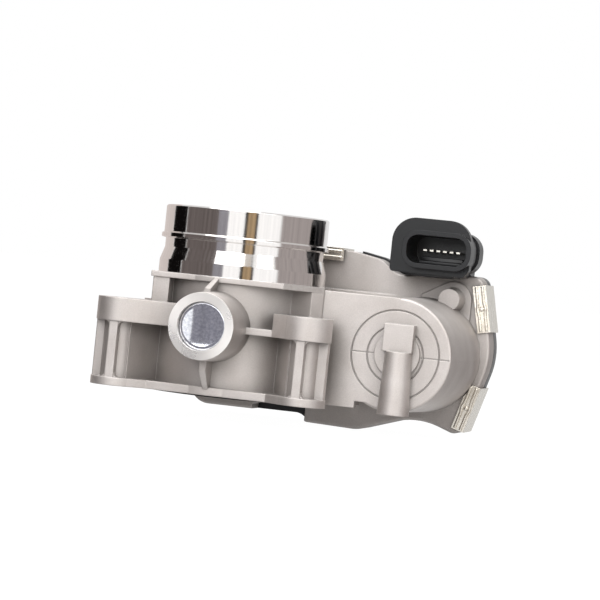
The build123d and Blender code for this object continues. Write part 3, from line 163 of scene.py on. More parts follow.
def cast_aluminium(name, light, dark, pocket_shade, roughness, edge_mm):
    """A metal with blasted grain, broad clouds of tone, rounded edges and painted shade in its
    pockets.
    """
    material, tree, output = start_material(name)
    place = add_node(tree, "TexCoord").outputs["Object"]
    clouds = add_node(tree, "TexNoise", {"Scale": per(CLOUD_MM), "Detail": 3.0}, {"Vector": place})
    grain = add_node(tree, "TexNoise", {"Scale": per(BEAD_MM), "Detail": 2.0}, {"Vector": place})
    tone = tone_ramp(tree, clouds, dark, light, 0.3, 0.72)
    speck = add_node(tree, "MapRange", {"From Min": 0.3, "From Max": 0.7,
                                        "To Min": SPECK_DARK, "To Max": SPECK_LIGHT},
                     {"Value": grain.outputs["Fac"]})
    # Painted shade: an Ambient Occlusion node darkens the colour in pockets and recesses, where
    # shade falls.
    open_sky = add_node(tree, "AmbientOcclusion", {"Distance": PAINTED_SHADE_MM * MM}, samples=AO_SAMPLES)
    painted_shade = add_node(tree, "MapRange", {"From Min": 0.15, "From Max": 0.95,
                                        "To Min": pocket_shade, "To Max": 1.0},
                     {"Value": open_sky.outputs["AO"]})
    shade = add_node(tree, "Math", links={0: speck.outputs["Result"], 1: painted_shade.outputs["Result"]},
                     operation="MULTIPLY")
    colour = add_node(tree, "VectorMath",
                      links={0: tone.outputs["Color"], 1: shade.outputs["Value"]},
                      operation="MULTIPLY")
    rough = add_node(tree, "MapRange", {"To Min": roughness - BLAST_SPREAD,
                                        "To Max": roughness + BLAST_SPREAD},
                     {"Value": clouds.outputs["Fac"]})
    edge = add_node(tree, "Bevel", {"Radius": edge_mm * MM}, samples=FINE_BEVEL_SAMPLES)
    dents = add_node(tree, "Bump", {"Strength": 0.25, "Distance": 0.05 * MM},
                     {"Height": grain.outputs["Fac"], "Normal": edge.outputs["Normal"]})
    surface = add_node(tree, "BsdfPrincipled", {"Metallic": 1.0},
                       {"Base Color": colour.outputs["Vector"],
                        "Roughness": rough.outputs["Result"],
                        "Normal": dents.outputs["Normal"]})
    finish_material(tree, output, surface)
    return material


blasted_casting = cast_aluminium("blasted_cast_aluminium", "#DAD5D2", "#CAC4C0",
                                 pocket_shade=0.45, roughness=0.6, edge_mm=0.6)
print(blasted_casting.name)

# %% [markdown]
# ## Turned aluminium
# The spigot and the bore are cut on a lathe. The tool leaves fine rings round the axis, and
# across such rings a reflection smears, so a lamp turns into a tall bright streak. Anisotropy
# needs a tangent that runs round the cut's axis: the cross product of the axis and the place. A
# weak ring pattern with a pitch of about 0.3 mm keeps the lathe's marks in view. The front boss is
# faced: there the same tool makes rings on a flat end.


# %% Turned aluminium
LATHE_EDGE_MM = 0.15


def turned_metal(name, colour_hex, roughness, anisotropy, axis, centre, faced, pitch_mm):
    """A lathe-turned metal round an axis through centre. faced puts the rings on the end face."""
    material, tree, output = start_material(name)
    place = add_node(tree, "TexCoord").outputs["Object"]
    offset = add_node(tree, "VectorMath", {1: centre}, {0: place}, operation="SUBTRACT")
    centred = offset.outputs["Vector"]
    if faced:
        across = tuple(1.0 - part for part in axis)
        spread = add_node(tree, "VectorMath", {1: across}, {0: centred}, operation="MULTIPLY")
        run = add_node(tree, "VectorMath", links={0: spread.outputs["Vector"]}, operation="LENGTH")
    else:
        run = add_node(tree, "VectorMath", {1: axis}, {0: centred}, operation="DOT_PRODUCT")
    rings = add_node(tree, "TexNoise", {"Scale": per(pitch_mm), "Detail": 2.0},
                     {"W": run.outputs["Value"]}, noise_dimensions="1D")
    stain = add_node(tree, "TexNoise", {"Scale": per(9), "Detail": 4.0}, {"Vector": place})
    rough = add_node(tree, "MapRange", {"From Min": 0.3, "From Max": 0.75,
                                        "To Min": roughness * 0.85, "To Max": roughness * 1.3},
                     {"Value": stain.outputs["Fac"]})
    edge = add_node(tree, "Bevel", {"Radius": LATHE_EDGE_MM * MM}, samples=FINE_BEVEL_SAMPLES)
    marks = add_node(tree, "Bump", {"Strength": 0.12, "Distance": 0.02 * MM},
                     {"Height": rings.outputs["Fac"], "Normal": edge.outputs["Normal"]})
    round_axis = add_node(tree, "VectorMath", {0: axis}, {1: centred}, operation="CROSS_PRODUCT")
    surface = add_node(tree, "BsdfPrincipled", {"Base Color": linear(colour_hex), "Metallic": 1.0,
                                                "Anisotropic": anisotropy},
                       {"Roughness": rough.outputs["Result"], "Normal": marks.outputs["Normal"],
                        "Tangent": round_axis.outputs["Vector"]})
    finish_material(tree, output, surface)
    return material


SHAFT_HEIGHT = 25.0  # millimetres
turned_spigot = turned_metal("turned_aluminium", "#E6E3E1", 0.08, 0.4, axis=(0, 0, 1),
                             centre=(0, 0, 0), faced=False, pitch_mm=0.3)
faced_boss = turned_metal("faced_aluminium", "#E3E0DC", 0.3, 0.5, axis=(0, 1, 0),
                          centre=(0, 0, SHAFT_HEIGHT * MM), faced=True, pitch_mm=0.35)
print(turned_spigot.name, faced_boss.name)

# %% [markdown]
# ## Milled and drilled aluminium
# Sealing faces and holes are cut with milling cutters and drills. They are brighter and smoother
# than the blasted skin round them, with no one direction, so this is a plain bright metal with
# faint swirls about 1.2 mm apart. The same function makes the other smooth metals: the ground
# shaft, the zinc-plated screws, the blackened springs, the cut brass pinion, the tinned terminals
# and the rest differ in colour, roughness and the size of their mottling.


# %% Milled aluminium
def smooth_metal(name, light, dark, roughness, mottle_mm, bump, edge_mm=0.15):
    """A smooth metal with soft mottling of a given size."""
    material, tree, output = start_material(name)
    place = add_node(tree, "TexCoord").outputs["Object"]
    mottle = add_node(tree, "TexNoise", {"Scale": per(mottle_mm), "Detail": 4.0, "Roughness": 0.6},
                      {"Vector": place})
    tone = tone_ramp(tree, mottle, dark, light, 0.35, 0.68)
    rough = add_node(tree, "MapRange", {"To Min": roughness * 0.8, "To Max": roughness * 1.2},
                     {"Value": mottle.outputs["Fac"]})
    edge = add_node(tree, "Bevel", {"Radius": edge_mm * MM}, samples=BEVEL_SAMPLES)
    waves = add_node(tree, "Bump", {"Strength": bump, "Distance": 0.1 * MM},
                     {"Height": mottle.outputs["Fac"], "Normal": edge.outputs["Normal"]})
    surface = add_node(tree, "BsdfPrincipled", {"Metallic": 1.0},
                       {"Base Color": tone.outputs["Color"], "Roughness": rough.outputs["Result"],
                        "Normal": waves.outputs["Normal"]})
    finish_material(tree, output, surface)
    return material


milled_face = smooth_metal("milled_aluminium", "#EBE9E6", "#DEDBD7", 0.34, 1.2, 0.02)
plate_alloy = smooth_metal("turned_plate_alloy", "#D8D2C4", "#C2BBAA", 0.3, 2.0, 0.1)
ground_steel = smooth_metal("ground_steel", "#C3C3C6", "#AEAEB2", 0.22, 1.5, 0.05)
bearing_steel = smooth_metal("bearing_steel", "#B5B6B9", "#9FA0A4", 0.18, 3.0, 0.03)
zinc_steel = smooth_metal("zinc_plated_steel", "#CACBD0", "#B2B3BA", 0.34, 1.0, 0.1)
dark_spring = smooth_metal("oil_dark_spring_steel", "#7C7B7B", "#666565", 0.38, 1.2, 0.1)
tinned_brass = smooth_metal("tinned_brass", "#DDDAD2", "#C4C1B8", 0.3, 0.8, 0.1, 0.06)
cut_brass = smooth_metal("cut_brass", "#D8B66A", "#C39F50", 0.28, 1.0, 0.1)
sintered_bronze = smooth_metal("sintered_bronze", "#A9814E", "#8C673A", 0.5, 0.4, 0.5)
lamination = smooth_metal("stamped_lamination_steel", "#85878C", "#6E7075", 0.4, 0.8, 0.2)
copper = smooth_metal("bare_copper", "#C9805C", "#B06A48", 0.3, 1.0, 0.1)
print("materials so far:", len(bpy.data.materials))

# %% [markdown]
# ## Pressed steel
# The plug is a thin cup pressed from steel strip. Its face keeps the rolling and plating
# blotches, a little blue, and stays shiny enough to mirror a lamp. The clips are stamped from
# warm bright spring strip.

# %% Pressed steels
plug_steel = smooth_metal("pressed_plug_steel", "#EEEFF3", "#C6C9D2", 0.05, 1.1, 0.003, 0.1)
can_steel = smooth_metal("drawn_can_steel", "#A7A9AE", "#8E9096", 0.35, 4.0, 0.1)
clip_steel = smooth_metal("stamped_clip_steel", "#E9E4DB", "#D6D0C5", 0.26, 2.5, 0.01, 0.25)
print(plug_steel.name, clip_steel.name)

# %% [markdown]
# ## Moulded plastics, rubber and the rest
# The cover is glass-filled nylon moulded in a spark-eroded tool: near black, with a dull sheen
# and a fine pebble about 0.25 mm wide, drawn at 0.4 mm. One function makes every matt plastic
# and rubber here by colour, roughness and grain, and the pressed powders too: ferrite magnets and
# carbon brushes have the same dull, fine-grained skin.


# %% Plastics and rubber
HAZE_MM, HAZE_SPREAD = 11, 0.07
NYLON_IOR = 1.42


def moulded(name, light, dark, roughness, grain_mm, bump, edge_mm=0.3):
    """A moulded plastic or rubber with a pebbled skin."""
    material, tree, output = start_material(name)
    place = add_node(tree, "TexCoord").outputs["Object"]
    pebble = add_node(tree, "TexNoise", {"Scale": per(grain_mm), "Detail": 2.0}, {"Vector": place})
    haze = add_node(tree, "TexNoise", {"Scale": per(HAZE_MM), "Detail": 3.0}, {"Vector": place})
    tone = tone_ramp(tree, haze, dark, light, 0.3, 0.7)
    rough = add_node(tree, "MapRange", {"To Min": roughness - HAZE_SPREAD,
                                        "To Max": roughness + HAZE_SPREAD},
                     {"Value": haze.outputs["Fac"]})
    edge = add_node(tree, "Bevel", {"Radius": edge_mm * MM}, samples=BEVEL_SAMPLES)
    skin = add_node(tree, "Bump", {"Strength": bump, "Distance": 0.05 * MM},
                    {"Height": pebble.outputs["Fac"], "Normal": edge.outputs["Normal"]})
    surface = add_node(tree, "BsdfPrincipled", {"IOR": NYLON_IOR},
                       {"Base Color": tone.outputs["Color"], "Roughness": rough.outputs["Result"],
                        "Normal": skin.outputs["Normal"]})
    finish_material(tree, output, surface)
    return material


black_nylon = moulded("glass_filled_black_nylon", "#111216", "#0B0C0F", 0.33, 0.4, 0.2)
natural_nylon = moulded("natural_gear_nylon", "#DAD6C8", "#CEC9B9", 0.4, 0.6, 0.15)
dark_nylon = moulded("dark_brush_card_nylon", "#303236", "#26282B", 0.45, 0.4, 0.2)
seal_rubber = moulded("nitrile_rubber", "#1B1B1B", "#131313", 0.62, 0.5, 0.3)
sintered_ferrite = moulded("sintered_ferrite", "#3A3A3D", "#2C2C2F", 0.6, 0.5, 0.4)
pressed_carbon = moulded("pressed_carbon", "#262626", "#1A1A1A", 0.55, 0.4, 0.4)
solder_mask = moulded("green_solder_mask", "#1F5A34", "#184A2A", 0.3, 1.5, 0.1)
winding_enamel = moulded("winding_enamel", "#A1562B", "#8A4520", 0.3, 0.5, 0.4)
print("materials so far:", len(bpy.data.materials))

# %% [markdown]
# ## Dressing the CAD pieces
# Each CAD mesh has one material slot. The table below says what each piece is made of.

# %% Piece to material
made_of = {
    "throttle_housing": blasted_casting,
    "throttle_shaft": ground_steel,
    "throttle_plate": plate_alloy,
    "plate_screws": zinc_steel,
    "front_needle_bearing": bearing_steel,
    "rear_ball_bearing": bearing_steel,
    "front_shaft_seal": seal_rubber,
    "rear_shaft_seal": seal_rubber,
    "shaft_end_plug": plug_steel,
    "sector_gear": natural_nylon,
    "sensor_magnet": sintered_ferrite,
    "return_spring": dark_spring,
    "stop_screw": zinc_steel,
    "idler_pin": ground_steel,
    "idler_gear": natural_nylon,
    "wave_washer": dark_spring,
    "motor_can": can_steel,
    "motor_rear_bush": sintered_bronze,
    "motor_front_bush": sintered_bronze,
    "motor_magnets": sintered_ferrite,
    "motor_shaft": ground_steel,
    "armature_core": lamination,
    "armature_windings": winding_enamel,
    "commutator": copper,
    "motor_end_plate": dark_nylon,
    "motor_brushes": pressed_carbon,
    "motor_screws": zinc_steel,
    "motor_terminals": tinned_brass,
    "motor_pinion": cut_brass,
    "gear_cover": black_nylon,
    "connector_pins": tinned_brass,
    "sensor_board": solder_mask,
    "cover_gasket": seal_rubber,
    "cover_clips": clip_steel,
    "flange_seal": seal_rubber,
}
for name, piece in nodes.items():
    piece.data.materials.clear()
    piece.data.materials.append(made_of[name])
print("dressed:", len(made_of), "left bare:", sorted(set(nodes) - set(made_of)))

# %% [markdown]
# ## Machined zones of the casting
# The housing is one piece of metal with four skins: blasted, turned, milled and faced. The lathe
# and the mill cut only some faces, so each polygon of those faces gets a material slot of its own.
# CAD faces end exactly at the cut's edge, so the border between the skins is crisp, as on the
# real casting. The zones below are in millimetres.

# %% Zones of the housing
housing = nodes["throttle_housing"]
housing.data.materials.append(turned_spigot)
housing.data.materials.append(milled_face)
housing.data.materials.append(faced_boss)
BLASTED, TURNED, MILLED, FACED = 0, 1, 2, 3
BOLTS = [(-35, -32), (35, -32), (-35, 24), (35, 24)]
BOLT_HOLE_ZONE, BOLT_SEAT_ZONE, BOLT_SEAT_HEIGHT = 3.6, 9.2, 31.9
BORE_ZONE, SPIGOT_ZONE, SPIGOT_FOOT = 28.8, 31.5, 43.05
BOSS_ZONE, PLUG_HOLE_ZONE, PLUG_HOLE_DEPTH = 14, 9.0, -30
CASE_RIM_DEPTH, CASE_RIM_ZONE = 43.9, 10
FACING = 0.9
PLUG_RECESS = 2.2
boss_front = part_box("shaft_end_plug")[0].y / MM - PLUG_RECESS


def skin_of(centre, normal):
    """Which skin a polygon of the housing has, from its middle and its normal, in millimetres."""
    x, y, z = centre
    from_bore = math.hypot(x, y)
    if from_bore < BORE_ZONE or (z > SPIGOT_FOOT and from_bore < SPIGOT_ZONE):
        return TURNED
    from_shaft = math.hypot(x, z - SHAFT_HEIGHT)
    if y < boss_front + 0.1 and from_shaft < BOSS_ZONE:
        return FACED
    if y < PLUG_HOLE_DEPTH and from_shaft < PLUG_HOLE_ZONE:
        return FACED
    from_bolt = min(math.hypot(x - bx, y - by) for bx, by in BOLTS)
    if from_bolt < BOLT_HOLE_ZONE or (from_bolt < BOLT_SEAT_ZONE and z > BOLT_SEAT_HEIGHT):
        return MILLED
    if abs(z) < 0.05 and normal.z < -FACING:
        return MILLED
    if y > CASE_RIM_DEPTH and normal.y > FACING and from_shaft > CASE_RIM_ZONE:
        return MILLED
    return BLASTED


counts = [0, 0, 0, 0]
for polygon in housing.data.polygons:
    skin = skin_of([v / MM for v in polygon.center], polygon.normal)
    polygon.material_index = skin
    counts[skin] += 1
print("blasted, turned, milled and faced polygons:", counts)

# %% [markdown]
# ## Ribs pressed into the clips
# Each clip is folded from spring strip 0.8 mm thick. On the real one, a press tool raises two
# ribs along the front lip, and they bow apart round a round dimple that snaps over the casting.
# The ribs are only 0.6 mm high, so the CAD leaves them out. Here each rib is a half-round section
# swept along the lip, and each dimple is a low dome. The place of every lip is read from the
# clip's own mesh.


# %% Where the clip lips are
def loose_parts(mesh):
    """The corner points of each separate solid in a mesh. Points within a micron count as one."""
    key_of = [tuple(round(v / MM, 3) for v in vertex.co) for vertex in mesh.vertices]
    neighbours = {key: set() for key in key_of}
    for edge in mesh.edges:
        first, second = (key_of[index] for index in edge.vertices)
        neighbours[first].add(second)
        neighbours[second].add(first)
    parts, seen = [], set()
    for start in neighbours:
        if start in seen:
            continue
        seen.add(start)
        stack, part = [start], []
        while stack:
            key = stack.pop()
            part.append(Vector(key) * MM)
            new = neighbours[key] - seen
            seen |= new
            stack.extend(new)
        parts.append(part)
    return parts


LIP_SHORTEST, LIP_LONGEST = 15 * MM, 19 * MM


def front_edge(points, hub):
    """The long outer edge of a clip's front face: its middle, its direction and the way inward."""
    front = min(point.y for point in points)
    face = [point for point in points if point.y < front + 0.01 * MM]
    pairs = [(a, b) for a in face for b in face if LIP_SHORTEST < (a - b).length < LIP_LONGEST]
    a, b = max(pairs, key=lambda pair: ((pair[0] + pair[1]) / 2 - hub).length)
    along = (b - a).normalized()
    inward = along.cross(Vector((0, 1, 0)))
    if inward.dot(hub - a) < 0:
        inward = -inward
    return (a + b) / 2, along, inward


case_low, case_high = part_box("cover_gasket")
hub = (Vector(case_low) + Vector(case_high)) / 2
lip_edges = [front_edge(part, hub) for part in loose_parts(nodes["cover_clips"].data)]
print("clips:", len(lip_edges))
print("middles in mm:", [[round(v / MM) for v in edge[0]] for edge in lip_edges])


# %% Sweeping ribs and dimples
FRONT = Vector((0, -1, 0))
HALF_ROUND_STEPS, DOME_RINGS, DOME_STEPS = 6, 5, 20


def new_piece(name, build, material, body="housing"):
    """A finished mesh piece from a bmesh, smooth shaded, riding on a body."""
    mesh = bpy.data.meshes.new(name)
    bmesh.ops.recalc_face_normals(build, faces=build.faces)
    build.to_mesh(mesh)
    build.free()
    for polygon in mesh.polygons:
        polygon.use_smooth = True
    mesh.materials.append(material)
    piece = bpy.data.objects.new(name, mesh)
    bpy.context.scene.collection.objects.link(piece)
    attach(piece, body)
    return piece


def sweep_rib(build, centre_line, side, width, height):
    """Sweeps a half-round section along points. side gives the section's width direction."""
    rows = []
    for point in centre_line:
        row = []
        for step in range(HALF_ROUND_STEPS + 1):
            angle = math.pi * step / HALF_ROUND_STEPS
            up = FRONT * height * math.sin(angle)
            row.append(build.verts.new(point + side * (width / 2) * math.cos(angle) + up))
        rows.append(row)
    for first, second in zip(rows, rows[1:]):
        for step in range(HALF_ROUND_STEPS):
            build.faces.new((first[step], first[step + 1], second[step + 1], second[step]))
    for row in (rows[0], rows[-1]):
        build.faces.new(row)


def low_dome(build, centre, along, inward, radius, height):
    """A round dome that stands towards the front."""
    top = build.verts.new(centre + FRONT * height)
    rings = []
    for ring in range(1, DOME_RINGS + 1):
        lift = height * math.cos(math.pi / 2 * ring / DOME_RINGS)
        painted_shade = radius * math.sin(math.pi / 2 * ring / DOME_RINGS)
        points = []
        for step in range(DOME_STEPS):
            turn = 2 * math.pi * step / DOME_STEPS
            place = centre + along * (painted_shade * math.cos(turn)) + inward * (painted_shade * math.sin(turn))
            points.append(build.verts.new(place - Vector((0, lift, 0))))
        rings.append(points)
    for step in range(DOME_STEPS):
        after = (step + 1) % DOME_STEPS
        build.faces.new((top, rings[0][step], rings[0][after]))
        for inner, outer in zip(rings, rings[1:]):
            build.faces.new((inner[step], outer[step], outer[after], inner[after]))


RIB_WIDTH, RIB_HEIGHT, RIB_LENGTH, RIB_STEPS = 1.3 * MM, 0.6 * MM, 17.0 * MM, 40
RIB_APART, BOW, BOW_LENGTH = 1.15 * MM, 0.4 * MM, 1.5 * MM
DIMPLE_RADIUS, DIMPLE_HEIGHT = 1.0 * MM, 0.6 * MM
LIP_MIDDLE = 2.55 * MM
for number, (edge_middle, along, inward) in enumerate(lip_edges):
    build = bmesh.new()
    centre = edge_middle + inward * LIP_MIDDLE
    for side in (-1, 1):
        line = []
        for step in range(RIB_STEPS + 1):
            run = RIB_LENGTH * (step / RIB_STEPS - 0.5)
            bow = RIB_APART + BOW * math.exp(-(run / BOW_LENGTH) ** 2)
            line.append(centre + along * run + inward * (side * bow))
        sweep_rib(build, line, inward, RIB_WIDTH, RIB_HEIGHT)
    low_dome(build, centre, along, inward, DIMPLE_RADIUS, DIMPLE_HEIGHT)
    new_piece("clip_ribs_%d" % number, build, clip_steel)
print("ribbed clips:", len(lip_edges))

# %% [markdown]
# ## The pressed plug
# A thin steel cup is pressed into the front boss to seal the end of the shaft. Pressing leaves
# its face very slightly hollow, about a third of a millimetre deep. That is enough to bend
# reflections: one side of the face mirrors a window and the rest mirrors the grey room. So the
# flat CAD cup is replaced with a turned profile that has the hollow and a rounded rim.


# %% Turning the plug
def turn_round_y(build, profile, centre, steps):
    """Turns (radius, depth) points round an axis along Y through centre. Radius 0 makes a pole."""
    rings = []
    for radius, depth in profile:
        if radius == 0:
            rings.append([build.verts.new(centre + Vector((0, depth, 0)))])
            continue
        ring = []
        for step in range(steps):
            turn = 2 * math.pi * step / steps
            offset = Vector((radius * math.cos(turn), depth, radius * math.sin(turn)))
            ring.append(build.verts.new(centre + offset))
        rings.append(ring)
    for first, second in zip(rings, rings[1:]):
        for step in range(steps):
            after = (step + 1) % steps
            corners = [first[step % len(first)], second[step % len(second)],
                       second[after % len(second)], first[after % len(first)]]
            build.faces.new(list(dict.fromkeys(corners)))


plug_low, plug_high = (Vector(corner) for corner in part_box("shaft_end_plug"))
plug_radius = (plug_high.x - plug_low.x) / 2
plug_centre = Vector(((plug_low.x + plug_high.x) / 2, plug_low.y, (plug_low.z + plug_high.z) / 2))
plug_depth = plug_high.y - plug_low.y
HOLLOW, PLUG_EDGE, PLUG_STRIP = 0.34 * MM, 0.8 * MM, 0.9 * MM
TURN_STEPS, FACE_STEPS, EDGE_STEPS = 96, 10, 8
face_radius = plug_radius - PLUG_EDGE
profile = [(face_radius * step / FACE_STEPS, HOLLOW * (1 - (step / FACE_STEPS) ** 2))
           for step in range(FACE_STEPS + 1)]
profile += [(face_radius + PLUG_EDGE * math.sin(turn), PLUG_EDGE * (1 - math.cos(turn)))
            for turn in (math.pi / 2 * step / EDGE_STEPS for step in range(1, EDGE_STEPS + 1))]
profile += [(plug_radius, plug_depth), (plug_radius - PLUG_STRIP, plug_depth),
            (plug_radius - PLUG_STRIP, HOLLOW + PLUG_STRIP), (0, HOLLOW + PLUG_STRIP)]
build = bmesh.new()
turn_round_y(build, profile, plug_centre, TURN_STEPS)
dished_plug = new_piece("dished_end_plug", build, plug_steel)
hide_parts("shaft_end_plug")
print("plug radius in mm:", round(plug_radius / MM, 2))

# %% [markdown]
# ## Inside the connector
# The socket of a sealed connector has a stepped ledge under its terminals, which guides the
# plug's lower half. It is moulded with the cover, so it has the same black nylon. Its section is
# drawn once, run across the socket and given a small moulded radius with a Bevel modifier. A
# short web closes the corner between the collar and the case in the same way.


# %% Extruding a section
MOULDED_STEPS = 3


def run_between(build, near_end, far_end):
    """A solid between two matching outlines of points, with a cap on each."""
    near = [build.verts.new(point) for point in near_end]
    far = [build.verts.new(point) for point in far_end]
    for step in range(len(near)):
        after = (step + 1) % len(near)
        build.faces.new((near[step], near[after], far[after], far[step]))
    build.faces.new(near)
    build.faces.new(far)


def soften(piece, width_mm):
    """A moulded radius on every hard edge, as real geometry."""
    bevel = piece.modifiers.new("moulded_radius", "BEVEL")
    bevel.width = width_mm * MM
    bevel.segments = MOULDED_STEPS
    bevel.limit_method = "ANGLE"


pins_low, pins_high = (Vector(corner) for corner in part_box("connector_pins"))
socket_x = (pins_low.x + pins_high.x) / 2
socket_z = (pins_low.z + pins_high.z) / 2
tip_y = pins_low.y
PIN_LENGTH, SOCKET_GAP = 9.0 * MM, 0.05 * MM
LEDGE_REACH, LEDGE_HALF = 2 * MM, 8.2 * MM
ledge_base, ledge_step, ledge_top = (socket_z - down * MM for down in (5.2, 3.9, 2.3))
ledge_back = tip_y + PIN_LENGTH - SOCKET_GAP
ledge = [(tip_y - LEDGE_REACH, ledge_base), (tip_y - LEDGE_REACH, ledge_step),
         (tip_y + LEDGE_REACH, ledge_step), (tip_y + LEDGE_REACH, ledge_top),
         (ledge_back, ledge_top), (ledge_back, ledge_base)]
build = bmesh.new()
run_between(build, [(socket_x - LEDGE_HALF, y, z) for y, z in ledge],
            [(socket_x + LEDGE_HALF, y, z) for y, z in ledge])
socket_ledge = new_piece("socket_ledge", build, black_nylon)
soften(socket_ledge, 0.25)
print("socket middle in mm:", round(socket_x / MM, 1), round(socket_z / MM, 1))

# %% Web under the collar
SHROUD_LENGTH, COLLAR_TO_CASE = 4.5 * MM, 16.0 * MM
FRONT_SETBACK, BACK_SETBACK = 0.6 * MM, 0.4 * MM
collar_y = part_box("gear_cover")[0][1] + SHROUD_LENGTH
case_y = collar_y + COLLAR_TO_CASE
# right and up of the socket's middle, in millimetres
WEB = [(-16.4, -8.0), (-12.6, -9.9), (-3.0, -10.1), (6.5, -9.7), (6.5, -8.0)]
corners = [(socket_x + right * MM, socket_z + up * MM) for right, up in WEB]
build = bmesh.new()
run_between(build, [(x, collar_y + FRONT_SETBACK, z) for x, z in corners],
            [(x, case_y - BACK_SETBACK, z) for x, z in corners])
collar_web = new_piece("collar_web", build, black_nylon)
soften(collar_web, 0.4)
print("web under the collar, in mm:", round(COLLAR_TO_CASE / MM, 1))

# %% [markdown]
# ## Cast corners of the flange pockets
# Molten metal can't fill a sharp inner corner, so a casting has a hollow round wherever two walls
# meet. The CAD keeps the corners between the two front ribs and the flange's plates square. Each
# one is filled here with a strip that has a hollow quarter round as its face, in the same blasted
# metal. The strips are sunk a tenth of a millimetre into both walls, so no gap shows.

# %% Hollow corners
# The values of this cell are in millimetres.
RIB_HALF = 1.6
PLATE_TOP, BAND_BOTTOM = 3.0, 23.5
CORNER_RADIUS, SUNK = 2.0, 0.1
CORNER_FRONT, CORNER_BACK = -40.2, -34.0
CORNER_STEPS, SHARP_DEG = 8, 40
FRONT_RIBS_X = (-35, 35)


def hollow_corner(x, z, right, up):
    """The section of one corner in millimetres. right and up point away from the two walls."""
    hollow = []
    for step in range(CORNER_STEPS + 1):
        turn = math.radians(90 * step / CORNER_STEPS)
        hollow.append((x + right * CORNER_RADIUS * (1 - math.sin(turn)),
                       z + up * CORNER_RADIUS * (1 - math.cos(turn))))
    foot = [(x - right * SUNK, z - up * SUNK), (x + right * CORNER_RADIUS, z - up * SUNK)]
    return foot + hollow + [(x - right * SUNK, z + up * CORNER_RADIUS)]


sections = [hollow_corner(rib_x + right * RIB_HALF, z, right, up)
            for rib_x in FRONT_RIBS_X
            for right in (-1, 1)
            for z, up in ((PLATE_TOP, 1), (BAND_BOTTOM, -1))]
build = bmesh.new()
for section in sections:
    run_between(build, [(x * MM, CORNER_FRONT * MM, z * MM) for x, z in section],
                [(x * MM, CORNER_BACK * MM, z * MM) for x, z in section])
cast_corners = new_piece("cast_corners", build, blasted_casting)
cast_corners.data.set_sharp_from_angle(angle=math.radians(SHARP_DEG))
print("cast corners:", len(sections))

# %% [markdown]
# ## The floor
# A product is shot on a white sweep: a floor that curves up into the backdrop. Here the floor is
# a broad white plane just under the lowest point of the part. To the camera it glows white, with
# a little real shading left so the shadow stays.

# %% Floor
FLOOR_SIZE, FLOOR_DROP = 40.0, 0.02 * MM
GLOW_STRENGTH, GLOW_SHARE = 1.06, 0.93
lowest = cad_box[0][2]


def white_floor():
    """White to the camera and in mirrors, and a plain white diffuse for light that bounces off."""
    material, tree, output = start_material("white_sweep_paper")
    path = add_node(tree, "LightPath")
    seen = add_node(tree, "Math",
                    links={0: path.outputs["Is Camera Ray"], 1: path.outputs["Is Glossy Ray"]},
                    operation="MAXIMUM")
    paper = add_node(tree, "BsdfDiffuse", {"Color": linear("#F4F4F4")})
    glow = add_node(tree, "Emission", {"Color": (1, 1, 1, 1), "Strength": GLOW_STRENGTH})
    share = add_node(tree, "Math", {1: GLOW_SHARE}, {0: seen.outputs["Value"]},
                     operation="MULTIPLY")
    mixed = add_node(tree, "MixShader",
                     links={0: share.outputs["Value"], 1: paper.outputs[0], 2: glow.outputs[0]})
    finish_material(tree, output, mixed)
    return material


bpy.ops.mesh.primitive_plane_add(size=FLOOR_SIZE, location=(0, 0, lowest - FLOOR_DROP))
floor = bpy.context.object
floor.name = "floor"
floor.data.materials.append(white_floor())
floor.visible_glossy = False
print("floor at", round(lowest / MM, 2), "mm")

# %% [markdown]
# ## World and lamps
# The world is a soft grey fill for the part, a paler grey in mirrors and plain white to the camera.
# Three large lamps give the shape: one above, one from the left front and one, weaker, from the
# right front.

# %% World
SKY_LEVEL, SKY_IN_MIRRORS = 0.6, 0.85
world = bpy.data.worlds.new("studio")
bpy.context.scene.world = world
world.use_nodes = True
sky = world.node_tree
sky.nodes.clear()
path = add_node(sky, "LightPath")
in_mirrors = add_node(sky, "MapRange", {"To Min": SKY_LEVEL, "To Max": SKY_IN_MIRRORS},
                      {"Value": path.outputs["Is Glossy Ray"]})
level = add_node(sky, "Math",
                 links={0: in_mirrors.outputs["Result"], 1: path.outputs["Is Camera Ray"]},
                 operation="MAXIMUM")
air = add_node(sky, "Background", {"Color": (1, 1, 1, 1)}, {"Strength": level.outputs[0]})
add_node(sky, "OutputWorld", links={"Surface": air.outputs[0]})
print("world ready")


# %% Camera axes
CAMERA_TURN = math.radians(14.0)
toward_camera = Vector((math.sin(CAMERA_TURN), -math.cos(CAMERA_TURN), 0))
image_right = Vector((math.cos(CAMERA_TURN), math.sin(CAMERA_TURN), 0))
middle = Vector((21.8 * MM, 5.4 * MM, 37.5 * MM))


def studio_point(right, near, up):
    """A point in the studio: metres to the picture's right, towards the camera and up."""
    return middle + image_right * right + toward_camera * near + Vector((0, 0, up))


print("camera looks along", [round(v, 3) for v in -toward_camera])


# %% Lamps
def soft_lamp(name, place, size, power):
    """A rectangular area lamp at a studio point, aimed at the part."""
    data = bpy.data.lights.new(name, "AREA")
    data.shape = "RECTANGLE"
    data.size, data.size_y = size
    data.energy = power
    lamp = bpy.data.objects.new(name, data)
    bpy.context.scene.collection.objects.link(lamp)
    lamp.location = place
    lamp.rotation_euler = (middle - place).to_track_quat("-Z", "Y").to_euler()


soft_lamp("top_softbox", studio_point(-0.2, 0.3, 1.3), size=(1.4, 1.0), power=12)
soft_lamp("left_softbox", studio_point(-0.5, 1.3, 0.6), size=(1.0, 1.0), power=9.5)
soft_lamp("right_softbox", studio_point(0.8, 1.2, 0.6), size=(0.5, 0.9), power=4)
print("lamps:", len(bpy.data.lights))

# %% [markdown]
# ## What the polished metal sees
# A turned cylinder shows the whole room in narrow upright bands. The room round a light table is
# a few tall things: bright windows of softbox, the grey and tan room behind the camera, and black
# flags at the sides that give the cylinder its dark edges. Each is a tall curved panel that only
# mirrors see, so it adds no light of its own to the matt surfaces. A one-dimensional noise that
# runs round the room gives each panel the fine upright streaks of things standing there.


